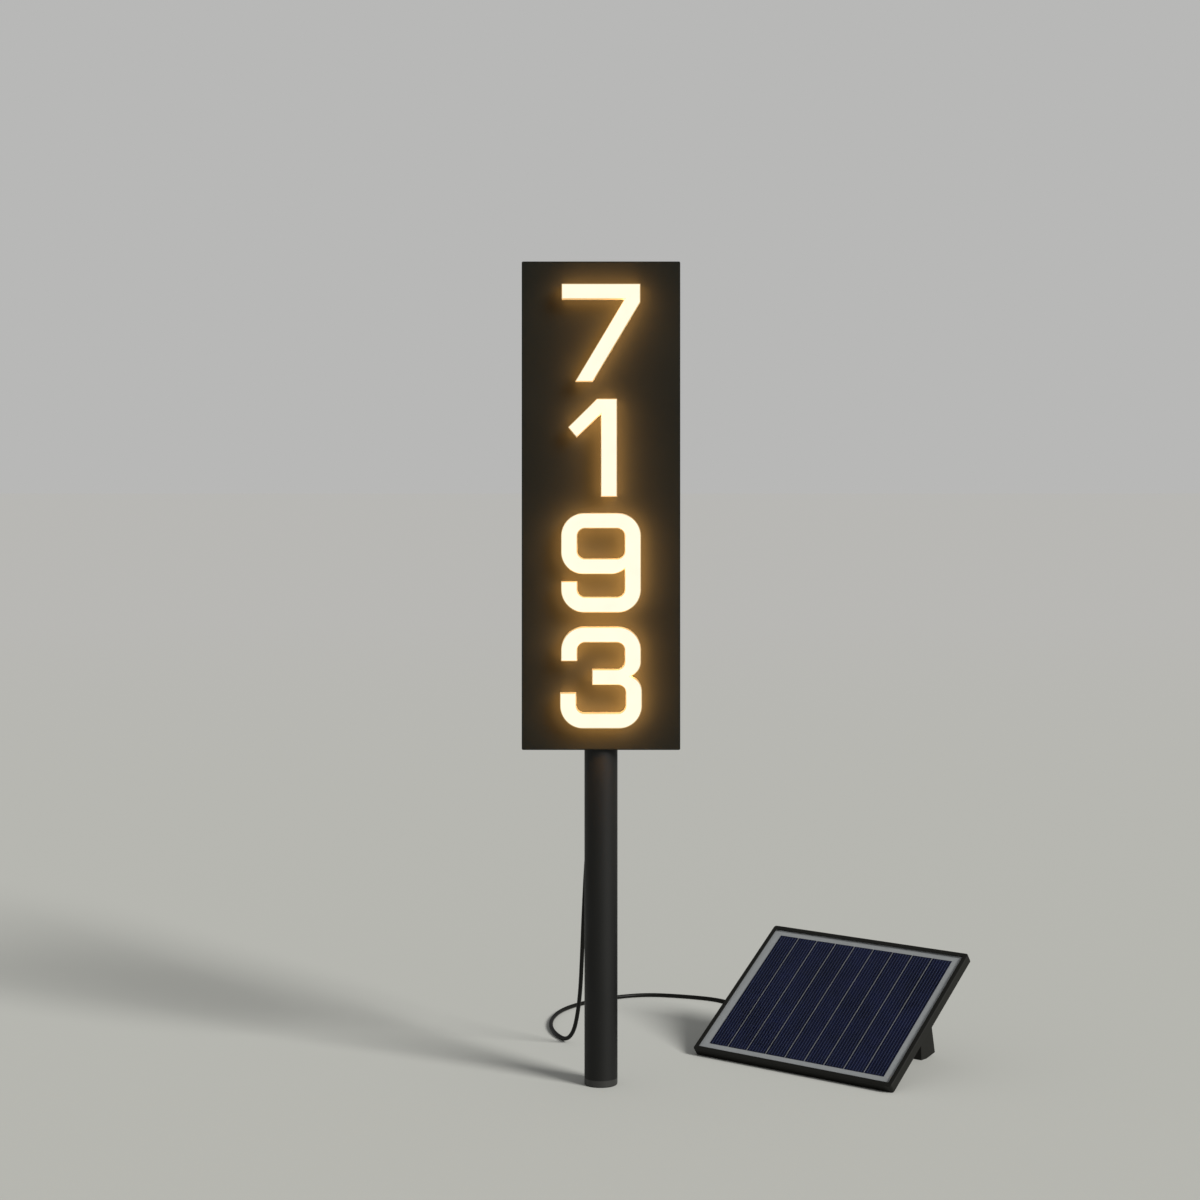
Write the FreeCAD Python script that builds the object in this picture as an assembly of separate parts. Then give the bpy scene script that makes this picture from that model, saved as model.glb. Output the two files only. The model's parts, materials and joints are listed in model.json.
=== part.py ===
"""Solar house number sign: a lit box on a post, its cable and its leaning solar panel.

Millimetres, +Z up. The origin is the centre of the post's foot, on the ground. The lit face looks
towards -Y and +X is to the right of someone who reads the sign.
"""
import FreeCAD, Part
import math
import os

V = FreeCAD.Vector

# ---------------------------------------------------------------- driving dimensions
clearance = 0.3              # gap round a loose fit
running_gap = 0.1            # gap round a pin, screw or cell in its hole

# sign box
sign_width = 160.0
sign_height = 493.0
sign_depth = 40.0
sign_base = 342.0            # lower side of the box over the ground
shell_wall = 2.0
cover_wall = 2.0
gasket_wall = 1.0
rim_width = 14.0             # folded rim that carries the rear cover
corner_bend = 1.5            # outer radius of the folded corners
face_edge = 1.0              # rounded edge round the face
cover_edge = 0.5

# figures
figure_height = 98.0
figure_width = 80.0
figure_end = 15.7            # box left over above and below the four figures' places
figure_rise = 0.6            # centre of the four figures over the centre of the box
figure_bar = 15.0            # horizontal strokes
figure_stem = 16.0           # vertical strokes
figure_bend = 23.0           # outer radius of round corners
figure_inner_bend = 8.0
figure_proud = 15.0          # out of the face
figure_edge = 0.5            # small chamfer round each figure's front
figure_fit = 0.3             # cut-out round each figure
shoulder_side = 16.0         # from the box's sides to the plate that each figure grows from
shoulder_gap = 3.4           # between neighbouring plates
shoulder_wall = 3.0
nine_extra = 1.4             # round figures are taller than straight ones
three_extra = 3.4
seven_narrow = 0.6           # the seven's bar is this much shorter on each side
seven_slant = 0.599          # sideways run of the seven's leg for each unit of height
seven_leg = 17.5             # width of that leg, measured level
seven_foot = -25.8           # left end of its foot
seven_shoulder = 3.2         # upright bit under the bar's right end
one_left = 0.0               # left side of the one's stem
one_cap = 4.0                # flat top left of the stem
one_flag_run = 28.9
one_flag_drop = 28.4
one_flag_cut_run = 8.4       # the cut end of the flag
one_flag_cut_drop = 10.1
nine_bowl = 60.9             # depth of the nine's bowl
nine_join_run = 5.9          # corner where the bowl meets the stem
nine_join_rise = 5.6
nine_join_bend = 20.0
nine_tail = 30.7             # height of the nine's tail over its lower side
three_arm = 33.8             # drop of the upper arm's end
three_lower_arm = 35.2       # rise of the lower arm's end
three_waist = 49.1           # drop of the notch on the right
three_notch = 11.0           # depth of that notch
three_middle = 8.8           # left end of the middle bar, left of centre
three_wider = 1.0            # the lower bowl reaches this much further out
three_bend = 15.0            # round corners on both sides of the notch
three_upper_end = 4.6        # from the notch up to the upper bowl's corner
three_lower_end = 5.4        # from the notch down to the lower bowl's corner

# light engine
diffuser_wall = 2.0
diffuser_side = 5.0          # from the box's sides to the diffuser
diffuser_end = 11.5          # from its ends
stud_radius = 2.0
stud_side = 4.0              # from the diffuser's sides
stud_end = 10.0              # from its ends
stud_rows = 4
spacer_length = 8.0
spacer_radius = 3.6
led_tray_wall = 1.5
led_strip_width = 10.0
led_strip_length = 116.0
led_strip_wall = 1.0
led_rows = 10
led_per_row = 6
led_size = 5.0
led_height = 1.4
nut_flats = 7.0
nut_height = 3.2
lead_hole_radius = 4.0
lead_hole_rise = 18.0        # over the controller board's upper end

# battery and board
cell_radius = 9.1
cell_length = 65.0
cell_pitch = 20.4
cell_count = 2
holder_wall = 1.6
battery_height = 72.0        # centre of the cells over the lower side of the box
strap_width = 12.0
strap_wall = 1.0
board_width = 74.0
board_length = 58.0
board_wall = 1.6
board_height = 166.0         # centre of the board over the lower side of the box
standoff_length = 5.0
standoff_radius = 3.0
board_hole_inset = 4.5
board_screw_radius = 1.5
coil_side = 12.0
coil_height = 4.5
coil_left = 18.0             # left of the board's middle
chip_width = 7.0
chip_length = 10.0
chip_height = 1.6
socket_width = 10.0
socket_length = 8.0
socket_height = 8.0
socket_side = 17.0           # left and right of the board's middle
socket_end = 8.0             # centre of the sockets, from the board's ends
switch_socket_side = 22.0
switch_socket_rise = 6.0
capacitor_radius = 4.0
capacitor_height = 8.5
capacitor_side = 14.0
capacitor_drop = 4.0

# leads inside the box
panel_lead_radius = 1.5
inner_lead_radius = 1.1
lead_lane = 12.6             # lane of the panel's lead beside the battery holder
lead_lane_gap = 10.0         # next lane, for the switch
lead_bend = 10.0             # room for one bend

# rear cover and its fittings
cover_screw_radius = 2.0
cover_screw_rows = 5
cover_screw_inset = 7.0      # from the cover's long sides
cover_screw_end = 9.0        # from its short sides
press_nut_radius = 3.6
press_nut_height = 4.0
gland_height = 32.0          # centre over the lower side of the box
gland_flats = 17.0
gland_hex = 5.0
gland_thread = 6.0
gland_dome_radius = 7.6
gland_dome = 13.0
gland_locknut = 4.0
gland_spare_thread = 1.5     # past the locknut
gland_cap = 4.0              # front of the dome nut, past the thread
gland_dome_edge = 3.5
gland_nut_share = 0.45       # hexagonal part of the dome nut
gland_play = 0.5
seal_radius = 4.6
switch_height = 32.0
switch_side = 44.0           # right of centre, seen from the front
switch_thread = 6.0
switch_bezel = 9.0
switch_bezel_wall = 2.4
switch_bezel_edge = 0.8
switch_body_length = 12.0
switch_nut_flats = 15.0
switch_nut_wall = 3.0
button_radius = 4.6
button_rise = 2.6            # out of the bezel
button_travel = 1.8
button_guide = 4.0           # depth of the button's pocket past its travel
button_edge = 1.0

# post
post_radius = 16.85
post_wall = 2.0
post_fit = 0.2
spigot_length = 62.0
spigot_wall = 4.0
spigot_plate_width = 92.0
spigot_plate_depth = 30.0
spigot_plate_wall = 4.0
spigot_plate_round = 6.0
spigot_screw_radius = 2.0
spigot_screw_head = 4.0
spigot_screw_side = 36.0
spigot_screw_back = 9.0
spigot_screw_length = 5.6
foot_height = 7.0
foot_edge = 1.5
foot_spigot = 30.0
insert_radius = 6.5
insert_length = 16.0
insert_bore = 4.25           # core of an M10 thread
grub_radius = 2.5
grub_length = 9.0
grub_sunk = 0.6              # below the post's outside
grub_socket = 2.5            # flats and depth of the socket
upper_grub = 18.0            # below the top of the post
lower_grub = 44.0
foot_grub = 22.0             # over the ground

# cable
cable_radius = 2.25
floor_gap = 0.05

# solar panel, in its own frame: u along its width, v up its slope, n out of its back's plane
panel_width = 249.0
panel_length = 187.0
panel_depth = 9.1
panel_tilt = 35.9
panel_yaw = 39.75
panel_corner_right = 101.4   # where the back's lower left corner touches the ground
panel_corner_back = 123.1
panel_lip = 5.0
panel_lip_wall = 0.7
panel_wall = 3.0
panel_round = 3.0
panel_edge = 0.5
glass_wall = 1.0
cell_wall = 0.4
sheet_wall = 1.0
panel_back_wall = 2.0
panel_back_rib = 3.0
panel_boss = 4.5             # radius of the screw bosses inside the back
wire_hole_radius = 3.5
wire_hole_rise = 10.0        # over the junction box's middle
cell_margin_side = 14.9      # from the panel's outer sides to the cells
cell_margin_end = 12.2
cell_strip_count = 9
cell_strip_gap = 1.2

# junction box on the panel's back
junction_side = 27.5         # centre, from the panel's left side
junction_end = 74.0          # centre, from its upper side
junction_width = 35.0
junction_length = 46.0
junction_depth = 13.0
junction_wall = 2.2
junction_flange = 3.0
junction_round = 5.0
junction_tub_round = 3.0
junction_gasket_wall = 1.0
junction_ear = 8.0
junction_screw_inset = 5.0
terminal_width = 24.0
terminal_length = 6.0
terminal_rise = 9.0          # over the junction box's middle
terminal_height = 5.0
panel_gland_hex = 4.0
panel_gland_dome = 11.0
panel_gland_thread = 1.0     # past the wall
cable_run_in = 26.0          # straight end of the cable before the panel's gland

# stand
stand_pivot_end = 29.0       # pivot from the panel's upper side, up its slope
stand_pivot_drop = 10.0      # pivot behind the panel's back
stand_side = 52.0            # centre of each cheek from the panel's side
cheek_wall = 6.0
cheek_boss = 7.0
cheek_foot_setback = 1.85    # front of the foot, in front of the pivot
cheek_foot_width = 27.0
cheek_foot_flat = 10.0
cheek_foot_lift = 3.6        # rear end of the sole over the ground
crossbar_wall = 5.0
crossbar_height = 19.0
pin_radius = 2.5
pin_play = 0.08
pin_head = 4.5
pin_head_wall = 1.5
pin_end_gap = 0.5            # pin's shank past each ear, inside its heads
ear_wall = 4.0
ear_gap = 0.4
bracket_wall = 2.0
bracket_length = 26.0
bracket_side = 9.5           # foot of the bracket beyond each ear
bracket_round = 2.0
small_screw_radius = 1.5
small_screw_head = 1.8       # head over shank
bracket_screw_side = 8.0     # from the pivot, up and down the slope

# ---------------------------------------------------------------- worked-out places
front = -sign_depth / 2
inner_front = front + shell_wall
rear = sign_depth / 2
cover_front = rear - cover_wall
rim_back = cover_front - gasket_wall
rim_front = rim_back - shell_wall
sign_top = sign_base + sign_height
sign_middle = sign_base + sign_height / 2
shoulder_back = inner_front + shoulder_wall
diffuser_back = shoulder_back + diffuser_wall
tray_front = diffuser_back + spacer_length
tray_back = tray_front + led_tray_wall
tube_bore = post_radius - post_wall
spigot_radius = tube_bore - post_fit
glass_top = panel_depth - panel_lip_wall
cells_top = glass_top - glass_wall
sheet_top = cells_top - cell_wall
sheet_bottom = sheet_top - sheet_wall
rebate = panel_wall + clearance
screw_grip = 0.02            # between a screw and the piece that it holds on to
gland_z = sign_base + gland_height
switch_z = sign_base + switch_height
board_z = sign_base + board_height
battery_z = sign_base + battery_height
figure_pitch = (sign_height - 2 * figure_end) / 4
shoulder_height = figure_pitch - shoulder_gap
shoulder_half = sign_width / 2 - shoulder_side
diffuser_half = sign_width / 2 - diffuser_side
diffuser_low = sign_base + diffuser_end
diffuser_high = sign_top - diffuser_end
pivot_v = panel_length - stand_pivot_end
pivot_n = -stand_pivot_drop
junction_v = panel_length - junction_end

os.makedirs("parts", exist_ok=True)
written = []


# ---------------------------------------------------------------- small makers
def save(name, shape):
    """Write one node as parts/NAME.step."""
    shape.exportStep("parts/" + name + ".step")
    solids = shape.Solids
    written.append(name)
    print("%-22s solids %2d  volume %10.1f  valid %s" % (name, len(solids), shape.Volume, shape.isValid()))


def block(x0, x1, y0, y1, z0, z1):
    """A box from its lowest to its highest corner."""
    return Part.makeBox(x1 - x0, y1 - y0, z1 - z0, V(x0, y0, z0))


def rod(radius, length, base, direction):
    """A round bar that starts at base."""
    return Part.makeCylinder(radius, length, V(*base), V(*direction))


def pipe(radius, bore, length, base, direction):
    """A round bar with a through hole."""
    return rod(radius, length, base, direction).cut(rod(bore, length, base, direction))


def hexagon(flats, length, base, direction):
    """A hexagonal bar that starts at base."""
    corner = flats / math.sqrt(3.0)
    points = [V(corner * math.cos(math.radians(60 * i)), corner * math.sin(math.radians(60 * i)), 0)
              for i in range(7)]
    bar = Part.Face(Part.makePolygon(points)).extrude(V(0, 0, length))
    bar.Placement = FreeCAD.Placement(V(*base), FreeCAD.Rotation(V(0, 0, 1), V(*direction)))
    return bar


def rounded_block(x0, x1, y0, y1, z0, z1, radius, along):
    """A box with the four edges along one axis rounded."""
    shape = block(x0, x1, y0, y1, z0, z1)
    edges = [e for e in shape.Edges if abs(abs(e.tangentAt(e.FirstParameter).dot(V(*along))) - 1) < 1e-6]
    return shape.makeFillet(radius, edges)


def edges_at(shape, axis, place):
    """Edges that lie wholly in the plane across an axis (0, 1 or 2) at one place."""
    found = []
    for edge in shape.Edges:
        box = edge.BoundBox
        low = (box.XMin, box.YMin, box.ZMin)[axis]
        high = (box.XMax, box.YMax, box.ZMax)[axis]
        if abs(low - place) < 1e-4 and abs(high - place) < 1e-4:
            found.append(edge)
    return found


def outline(corners):
    """A closed wire in the XZ plane from (x, z, radius) corners; round corners are tangent arcs."""
    count = len(corners)
    ends = []
    for i in range(count):
        x, z, radius = corners[i]
        here = V(x, 0, z)
        before = (V(corners[i - 1][0], 0, corners[i - 1][1]) - here).normalize()
        after = (V(corners[(i + 1) % count][0], 0, corners[(i + 1) % count][1]) - here).normalize()
        if radius <= 0:
            ends.append((here, here, None))
            continue
        half = before.getAngle(after) / 2
        reach = radius / math.tan(half)
        middle = (before + after).normalize() * (radius / math.sin(half) - radius)
        ends.append((here + before * reach, here + after * reach, here + middle))
    edges = []
    for i in range(count):
        start, end, middle = ends[i]
        if middle is not None:
            edges.append(Part.Arc(start, middle, end).toShape())
        following = ends[(i + 1) % count][0]
        if (following - end).Length > 1e-6:
            edges.append(Part.LineSegment(end, following).toShape())
    return Part.Wire(edges)


def grown(wire, distance):
    """The same outline, moved outwards."""
    return wire.makeOffset2D(distance, 0, False, False, False)


def extrude_back(wires, y0, y1):
    """A plate between two depths from one outer wire and any holes."""
    face = Part.Face(wires[0])
    for hole in wires[1:]:
        face = face.cut(Part.Face(hole))
    face.translate(V(0, y0, 0))
    return face.extrude(V(0, y1 - y0, 0))


def button_screw(radius, length, seat, out, head_ratio=1.9, socket=1.2):
    """A round-headed socket screw: the head stands on seat and looks along out."""
    out_dir = V(*out)
    head_radius = radius * head_ratio
    head_height = radius * 1.1
    head = rod(head_radius, head_height, (0, 0, 0), (0, 0, 1))
    head = head.makeFillet(head_height * 0.6, edges_at(head, 2, head_height))
    screw = head.fuse(rod(radius, length, (0, 0, 0), (0, 0, -1)))
    screw = screw.cut(hexagon(radius * socket, head_height * 0.6, (0, 0, head_height * 0.45), (0, 0, 1)))
    screw = screw.removeSplitter()
    screw.Placement = FreeCAD.Placement(V(*seat), FreeCAD.Rotation(V(0, 0, 1), out_dir))
    return screw


def round_route(points, label):
    """Straight runs joined by tangent arcs, as large as 0.45 of the shorter run allows."""
    points = [V(*p) for p in points]
    edges = []
    last = points[0]
    radii = []
    for i in range(1, len(points) - 1):
        before = points[i - 1] - points[i]
        after = points[i + 1] - points[i]
        reach = 0.45 * min(before.Length, after.Length)
        turn = math.pi - before.getAngle(after)
        radius = reach / math.tan(turn / 2)
        radii.append(radius)
        start = points[i] + V(before).normalize() * reach
        end = points[i] + V(after).normalize() * reach
        bisector = (V(before).normalize() + V(after).normalize()).normalize()
        middle = points[i] + bisector * (radius / math.cos(turn / 2) - radius)
        edges.append(Part.LineSegment(last, start).toShape())
        edges.append(Part.Arc(start, middle, end).toShape())
        last = end
    edges.append(Part.LineSegment(last, points[-1]).toShape())
    runs = [(points[i + 1] - points[i]).Length for i in range(len(points) - 1)]
    print("%s radii: %s" % (label, " ".join("%.1f" % r for r in radii)))
    print("%s runs: %s" % (label, " ".join("%.1f" % r for r in runs)))
    return Part.Wire(edges)


def tube_along(points, radius, label):
    """A round cable along a route; prints how well its volume fits its length."""
    path = round_route(points, label)
    start = V(*points[0])
    direction = (V(*points[1]) - start).normalize()
    section = Part.Wire([Part.makeCircle(radius, start, direction)])
    tube = path.makePipeShell([section], True, False)
    ratio = tube.Volume / (math.pi * radius ** 2 * path.Length)
    print("%s length %.1f  volume/section/length %.5f" % (label, path.Length, ratio))
    return tube


# ---------------------------------------------------------------- figures
def figure_top(index):
    """Height of the middle of a figure, counted from the top."""
    return sign_middle + figure_rise + (1.5 - index) * figure_pitch


def seven_corners():
    """The seven: a bar and a slanted leg."""
    half = figure_width / 2 - seven_narrow
    leg_right = seven_foot + seven_leg
    shoulder = figure_bar + seven_shoulder
    height = shoulder + (half - leg_right) / seven_slant
    inner = seven_foot + seven_slant * (height - figure_bar)
    return [(-half, 0, 0), (half, 0, 0), (half, -shoulder, 0), (leg_right, -height, 0),
            (seven_foot, -height, 0), (inner, -figure_bar, 0), (-half, -figure_bar, 0)], height


def one_corners():
    """The one: a stem with a flag."""
    right = one_left + figure_stem
    tip = one_left - one_cap - one_flag_run
    return [(right, 0, 0), (one_left - one_cap, 0, 0), (tip, -one_flag_drop, 0),
            (tip + one_flag_cut_run, -one_flag_drop - one_flag_cut_drop, 0),
            (one_left, -figure_bar, 0), (one_left, -figure_height, 0),
            (right, -figure_height, 0)], figure_height


def nine_corners():
    """The nine's outer outline: a bowl, a stem and a tail."""
    half = figure_width / 2
    height = figure_height + nine_extra
    inner = half - figure_stem
    floor = -height + figure_bar
    return [(-half, 0, figure_bend), (half, 0, figure_bend), (half, -height, figure_bend),
            (-half, -height, figure_bend), (-half, -height + nine_tail, 0),
            (-inner, -height + nine_tail, 0), (-inner, floor, figure_inner_bend),
            (inner, floor, figure_inner_bend), (inner, -nine_bowl + nine_join_rise, 0),
            (inner - nine_join_run, -nine_bowl, nine_join_bend), (-half, -nine_bowl, figure_bend - 1)], height


def nine_counter():
    """The hole in the nine's bowl."""
    half = figure_width / 2 - figure_stem
    low = -nine_bowl + figure_bar
    bend = figure_inner_bend
    return [(-half, -figure_bar, bend), (half, -figure_bar, bend), (half, low, bend), (-half, low, bend)]


def three_corners():
    """The three: two bowls, two arms and a middle bar."""
    upper = figure_width / 2
    lower = upper + three_wider
    height = figure_height + three_extra
    upper_inner = upper - figure_stem
    lower_inner = lower - figure_stem
    bend = figure_inner_bend
    bar_top = -three_waist + figure_bar / 2 - 1
    bar_low = bar_top - figure_bar
    floor = -height + figure_bar
    return [(-upper, 0, figure_bend), (upper, 0, figure_bend),
            (upper, -three_waist + three_upper_end, three_bend), (upper - three_notch, -three_waist, 0),
            (lower, -three_waist - three_lower_end, three_bend), (lower, -height, figure_bend),
            (-lower, -height, figure_bend), (-lower, -height + three_lower_arm, 0),
            (-lower_inner, -height + three_lower_arm, 0), (-lower_inner, floor, bend),
            (lower_inner, floor, bend), (lower_inner, bar_low, bend), (-three_middle, bar_low, 0),
            (-three_middle, bar_top, 0), (upper_inner, bar_top, bend), (upper_inner, -figure_bar, bend),
            (-upper_inner, -figure_bar, bend), (-upper_inner, -three_arm, 0), (-upper, -three_arm, 0)], height


figure_outlines = (("numeral_seven", seven_corners), ("numeral_one", one_corners),
                   ("numeral_nine", nine_corners), ("numeral_three", three_corners))


def placed_wire(corners, top):
    """An outline moved to its height on the face."""
    wire = outline(corners)
    wire.translate(V(0, 0, top))
    return wire


def figure_wires():
    """Each figure's name, outer wire and middle height."""
    wires = []
    for index, (name, corners) in enumerate(figure_outlines):
        points, height = corners()
        middle = figure_top(index)
        wires.append((name, placed_wire(points, middle + height / 2), middle))
    return wires


def counter_wire():
    """The wire of the nine's counter, in place."""
    height = nine_corners()[1]
    return placed_wire(nine_counter(), figure_top(2) + height / 2)


def make_figures():
    """Opal figures: a shoulder plate behind the face and the figure pushed through it."""
    for name, wire, middle in figure_wires():
        holes = [counter_wire()] if name == "numeral_nine" else []
        raised = extrude_back([wire] + holes, front - figure_proud, inner_front)
        raised = raised.makeChamfer(figure_edge, edges_at(raised, 1, front - figure_proud))
        shoulder = block(-shoulder_half, shoulder_half, inner_front, shoulder_back,
                         middle - shoulder_height / 2, middle + shoulder_height / 2)
        save(name, raised.fuse(shoulder).removeSplitter())
    insert = extrude_back([grown(counter_wire(), -figure_fit)], front, inner_front)
    save("nine_counter_insert", insert)


# ---------------------------------------------------------------- sign box
def cover_screw_places():
    """X and Z of the rear cover's screws."""
    places = []
    x = sign_width / 2 - cover_screw_inset
    low = sign_base + cover_screw_end
    step = (sign_height - 2 * cover_screw_end) / (cover_screw_rows - 1)
    for row in range(cover_screw_rows):
        for side in (-1, 1):
            places.append((side * x, low + row * step))
    return places


def stud_places():
    """X and Z of the studs behind the face."""
    places = []
    low = diffuser_low + stud_end
    step = (diffuser_high - stud_end - low) / (stud_rows - 1)
    for row in range(stud_rows):
        for side in (-1, 1):
            places.append((side * (diffuser_half - stud_side), low + row * step))
    return places


def spigot_screw_places():
    """X and Y of the screws under the box."""
    return [(i * spigot_screw_side, j * spigot_screw_back) for i in (-1, 1) for j in (-1, 1)]


def make_face_shell():
    """Folded tray: face, four sides and a rim for the rear cover."""
    half = sign_width / 2
    shell = rounded_block(-half, half, front, rim_back, sign_base, sign_top, corner_bend, (0, 1, 0))
    shell = shell.makeFillet(face_edge, edges_at(shell, 1, front))
    shell = shell.cut(block(-half + shell_wall, half - shell_wall, inner_front, rim_front,
                            sign_base + shell_wall, sign_top - shell_wall))
    shell = shell.cut(block(-half + rim_width, half - rim_width, rim_front, rim_back,
                            sign_base + rim_width, sign_top - rim_width))
    for name, wire, middle in figure_wires():
        shell = shell.cut(extrude_back([grown(wire, figure_fit)], front, inner_front))
    for x, z in cover_screw_places():
        shell = shell.cut(rod(press_nut_radius - 1, shell_wall, (x, rim_front, z), (0, 1, 0)))
    shell = shell.cut(rod(spigot_radius + clearance, shell_wall, (0, 0, sign_base), (0, 0, 1)))
    for x, y in spigot_screw_places():
        shell = shell.cut(Part.makeCone(spigot_screw_head + running_gap, spigot_screw_radius + running_gap,
                                        shell_wall, V(x, y, sign_base), V(0, 0, 1)))
    save("face_shell", shell)


def make_rear_cover():
    """Flat cover, its gasket, screws and press nuts."""
    half = sign_width / 2
    cover = rounded_block(-half, half, cover_front, rear, sign_base, sign_top, corner_bend, (0, 1, 0))
    cover = cover.makeFillet(cover_edge, edges_at(cover, 1, rear))
    gasket = block(-half + 1, half - 1, rim_back, cover_front, sign_base + 1, sign_top - 1)
    gasket = gasket.cut(block(-half + rim_width - 1, half - rim_width + 1, rim_back, cover_front,
                              sign_base + rim_width - 1, sign_top - rim_width + 1))
    screws = []
    nuts = []
    shank = cover_wall + gasket_wall + shell_wall + press_nut_height - 1
    for x, z in cover_screw_places():
        hole = rod(cover_screw_radius + running_gap, cover_wall + gasket_wall, (x, rim_back, z), (0, 1, 0))
        cover = cover.cut(hole)
        gasket = gasket.cut(hole)
        screws.append(button_screw(cover_screw_radius, shank, (x, rear, z), (0, 1, 0)))
        nut = rod(press_nut_radius, press_nut_height, (x, rim_front - press_nut_height, z), (0, 1, 0))
        neck = rod(press_nut_radius - 1 - screw_grip, shell_wall, (x, rim_front, z), (0, 1, 0))
        bore = rod(cover_screw_radius + screw_grip, press_nut_height + shell_wall,
                   (x, rim_front - press_nut_height, z), (0, 1, 0))
        nuts.append(nut.fuse(neck).cut(bore).removeSplitter())
    cover = cover.cut(rod(gland_thread + running_gap, cover_wall, (0, cover_front, gland_z), (0, 1, 0)))
    cover = cover.cut(rod(switch_thread + running_gap, cover_wall,
                          (switch_side, cover_front, switch_z), (0, 1, 0)))
    save("rear_cover", cover)
    save("rear_gasket", gasket)
    save("cover_screws", Part.makeCompound(screws))
    save("press_nuts", Part.makeCompound(nuts))


def make_light_engine():
    """Studs, diffuser, spacers, tray, boards and LEDs behind the figures."""
    half = diffuser_half
    diffuser = block(-half, half, shoulder_back, diffuser_back, diffuser_low, diffuser_high)
    tray = block(-half, half, tray_front, tray_back, diffuser_low, diffuser_high)
    studs = []
    spacers = []
    nuts = []
    stud_length = tray_back + nut_height + 1 - inner_front
    for x, z in stud_places():
        studs.append(rod(stud_radius, stud_length, (x, inner_front, z), (0, 1, 0)))
        hole = rod(stud_radius + running_gap, sign_depth, (x, inner_front, z), (0, 1, 0))
        diffuser = diffuser.cut(hole)
        tray = tray.cut(hole)
        spacers.append(pipe(spacer_radius, stud_radius + running_gap, spacer_length,
                            (x, diffuser_back, z), (0, 1, 0)))
        nut = hexagon(nut_flats, nut_height, (x, tray_back, z), (0, 1, 0))
        nuts.append(nut.cut(rod(stud_radius + screw_grip, nut_height, (x, tray_back, z), (0, 1, 0))))
    tray = tray.cut(rod(lead_hole_radius, led_tray_wall, (0, tray_front, lead_hole_height()), (0, 1, 0)))
    boards = []
    leds = []
    board_front = tray_front - led_strip_wall
    for row in range(led_rows):
        z = sign_middle + figure_rise + (row - (led_rows - 1) / 2) * figure_pitch * 4 / led_rows
        boards.append(block(-led_strip_length / 2, led_strip_length / 2, board_front, tray_front,
                            z - led_strip_width / 2, z + led_strip_width / 2))
        for i in range(led_per_row):
            x = (i - (led_per_row - 1) / 2) * led_strip_length / led_per_row
            leds.append(block(x - led_size / 2, x + led_size / 2, board_front - led_height, board_front,
                              z - led_size / 2, z + led_size / 2))
    save("diffuser_sheet", diffuser)
    save("face_studs", Part.makeCompound(studs))
    save("tray_spacers", Part.makeCompound(spacers))
    save("stud_nuts", Part.makeCompound(nuts))
    save("led_tray", tray)
    save("led_boards", Part.makeCompound(boards))
    save("leds", Part.makeCompound(leds))


def lead_hole_height():
    """Height of the hole that the LEDs' lead goes through, between two LED boards."""
    return board_z + board_length / 2 + lead_hole_rise


def battery_middle():
    """Depth of the cells' axes: they lie on the holder's floor."""
    return tray_back + holder_wall + cell_radius + running_gap


def make_battery():
    """Two cells in a holder on the tray's back, with a strap."""
    z_mid = battery_z
    y_mid = battery_middle()
    half_length = cell_length / 2 + clearance
    rows = [z_mid + (i - (cell_count - 1) / 2) * cell_pitch for i in range(cell_count)]
    half_height = (cell_count - 1) * cell_pitch / 2 + cell_radius + running_gap + holder_wall
    holder = block(-half_length - holder_wall, half_length + holder_wall, tray_back, y_mid + 2,
                   z_mid - half_height, z_mid + half_height)
    for z in rows:
        well = cell_radius + running_gap
        holder = holder.cut(rod(well, 2 * half_length, (-half_length, y_mid, z), (1, 0, 0)))
        holder = holder.cut(block(-half_length, half_length, y_mid, y_mid + 2, z - well, z + well))
    save("battery_holder", holder)
    cells = [rod(cell_radius, cell_length, (-cell_length / 2, y_mid, z), (1, 0, 0)) for z in rows]
    save("battery_cells", Part.makeCompound(cells))
    reach = half_height + clearance
    back = y_mid + cell_radius + clearance
    strap = block(-strap_width / 2, strap_width / 2, tray_back, back + strap_wall,
                  z_mid - reach - strap_wall, z_mid + reach + strap_wall)
    strap = strap.cut(block(-strap_width / 2, strap_width / 2, tray_back, back, z_mid - reach, z_mid + reach))
    save("battery_strap", strap)


def board_hole_places():
    """X and Z of the controller board's screws."""
    x = board_width / 2 - board_hole_inset
    z = board_length / 2 - board_hole_inset
    return [(i * x, board_z + j * z) for i in (-1, 1) for j in (-1, 1)]


def board_part(x, z, width, length, height):
    """A square component on the board, placed from the board's middle."""
    y = tray_back + standoff_length + board_wall
    return block(x - width / 2, x + width / 2, y, y + height,
                 board_z + z - length / 2, board_z + z + length / 2)


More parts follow.
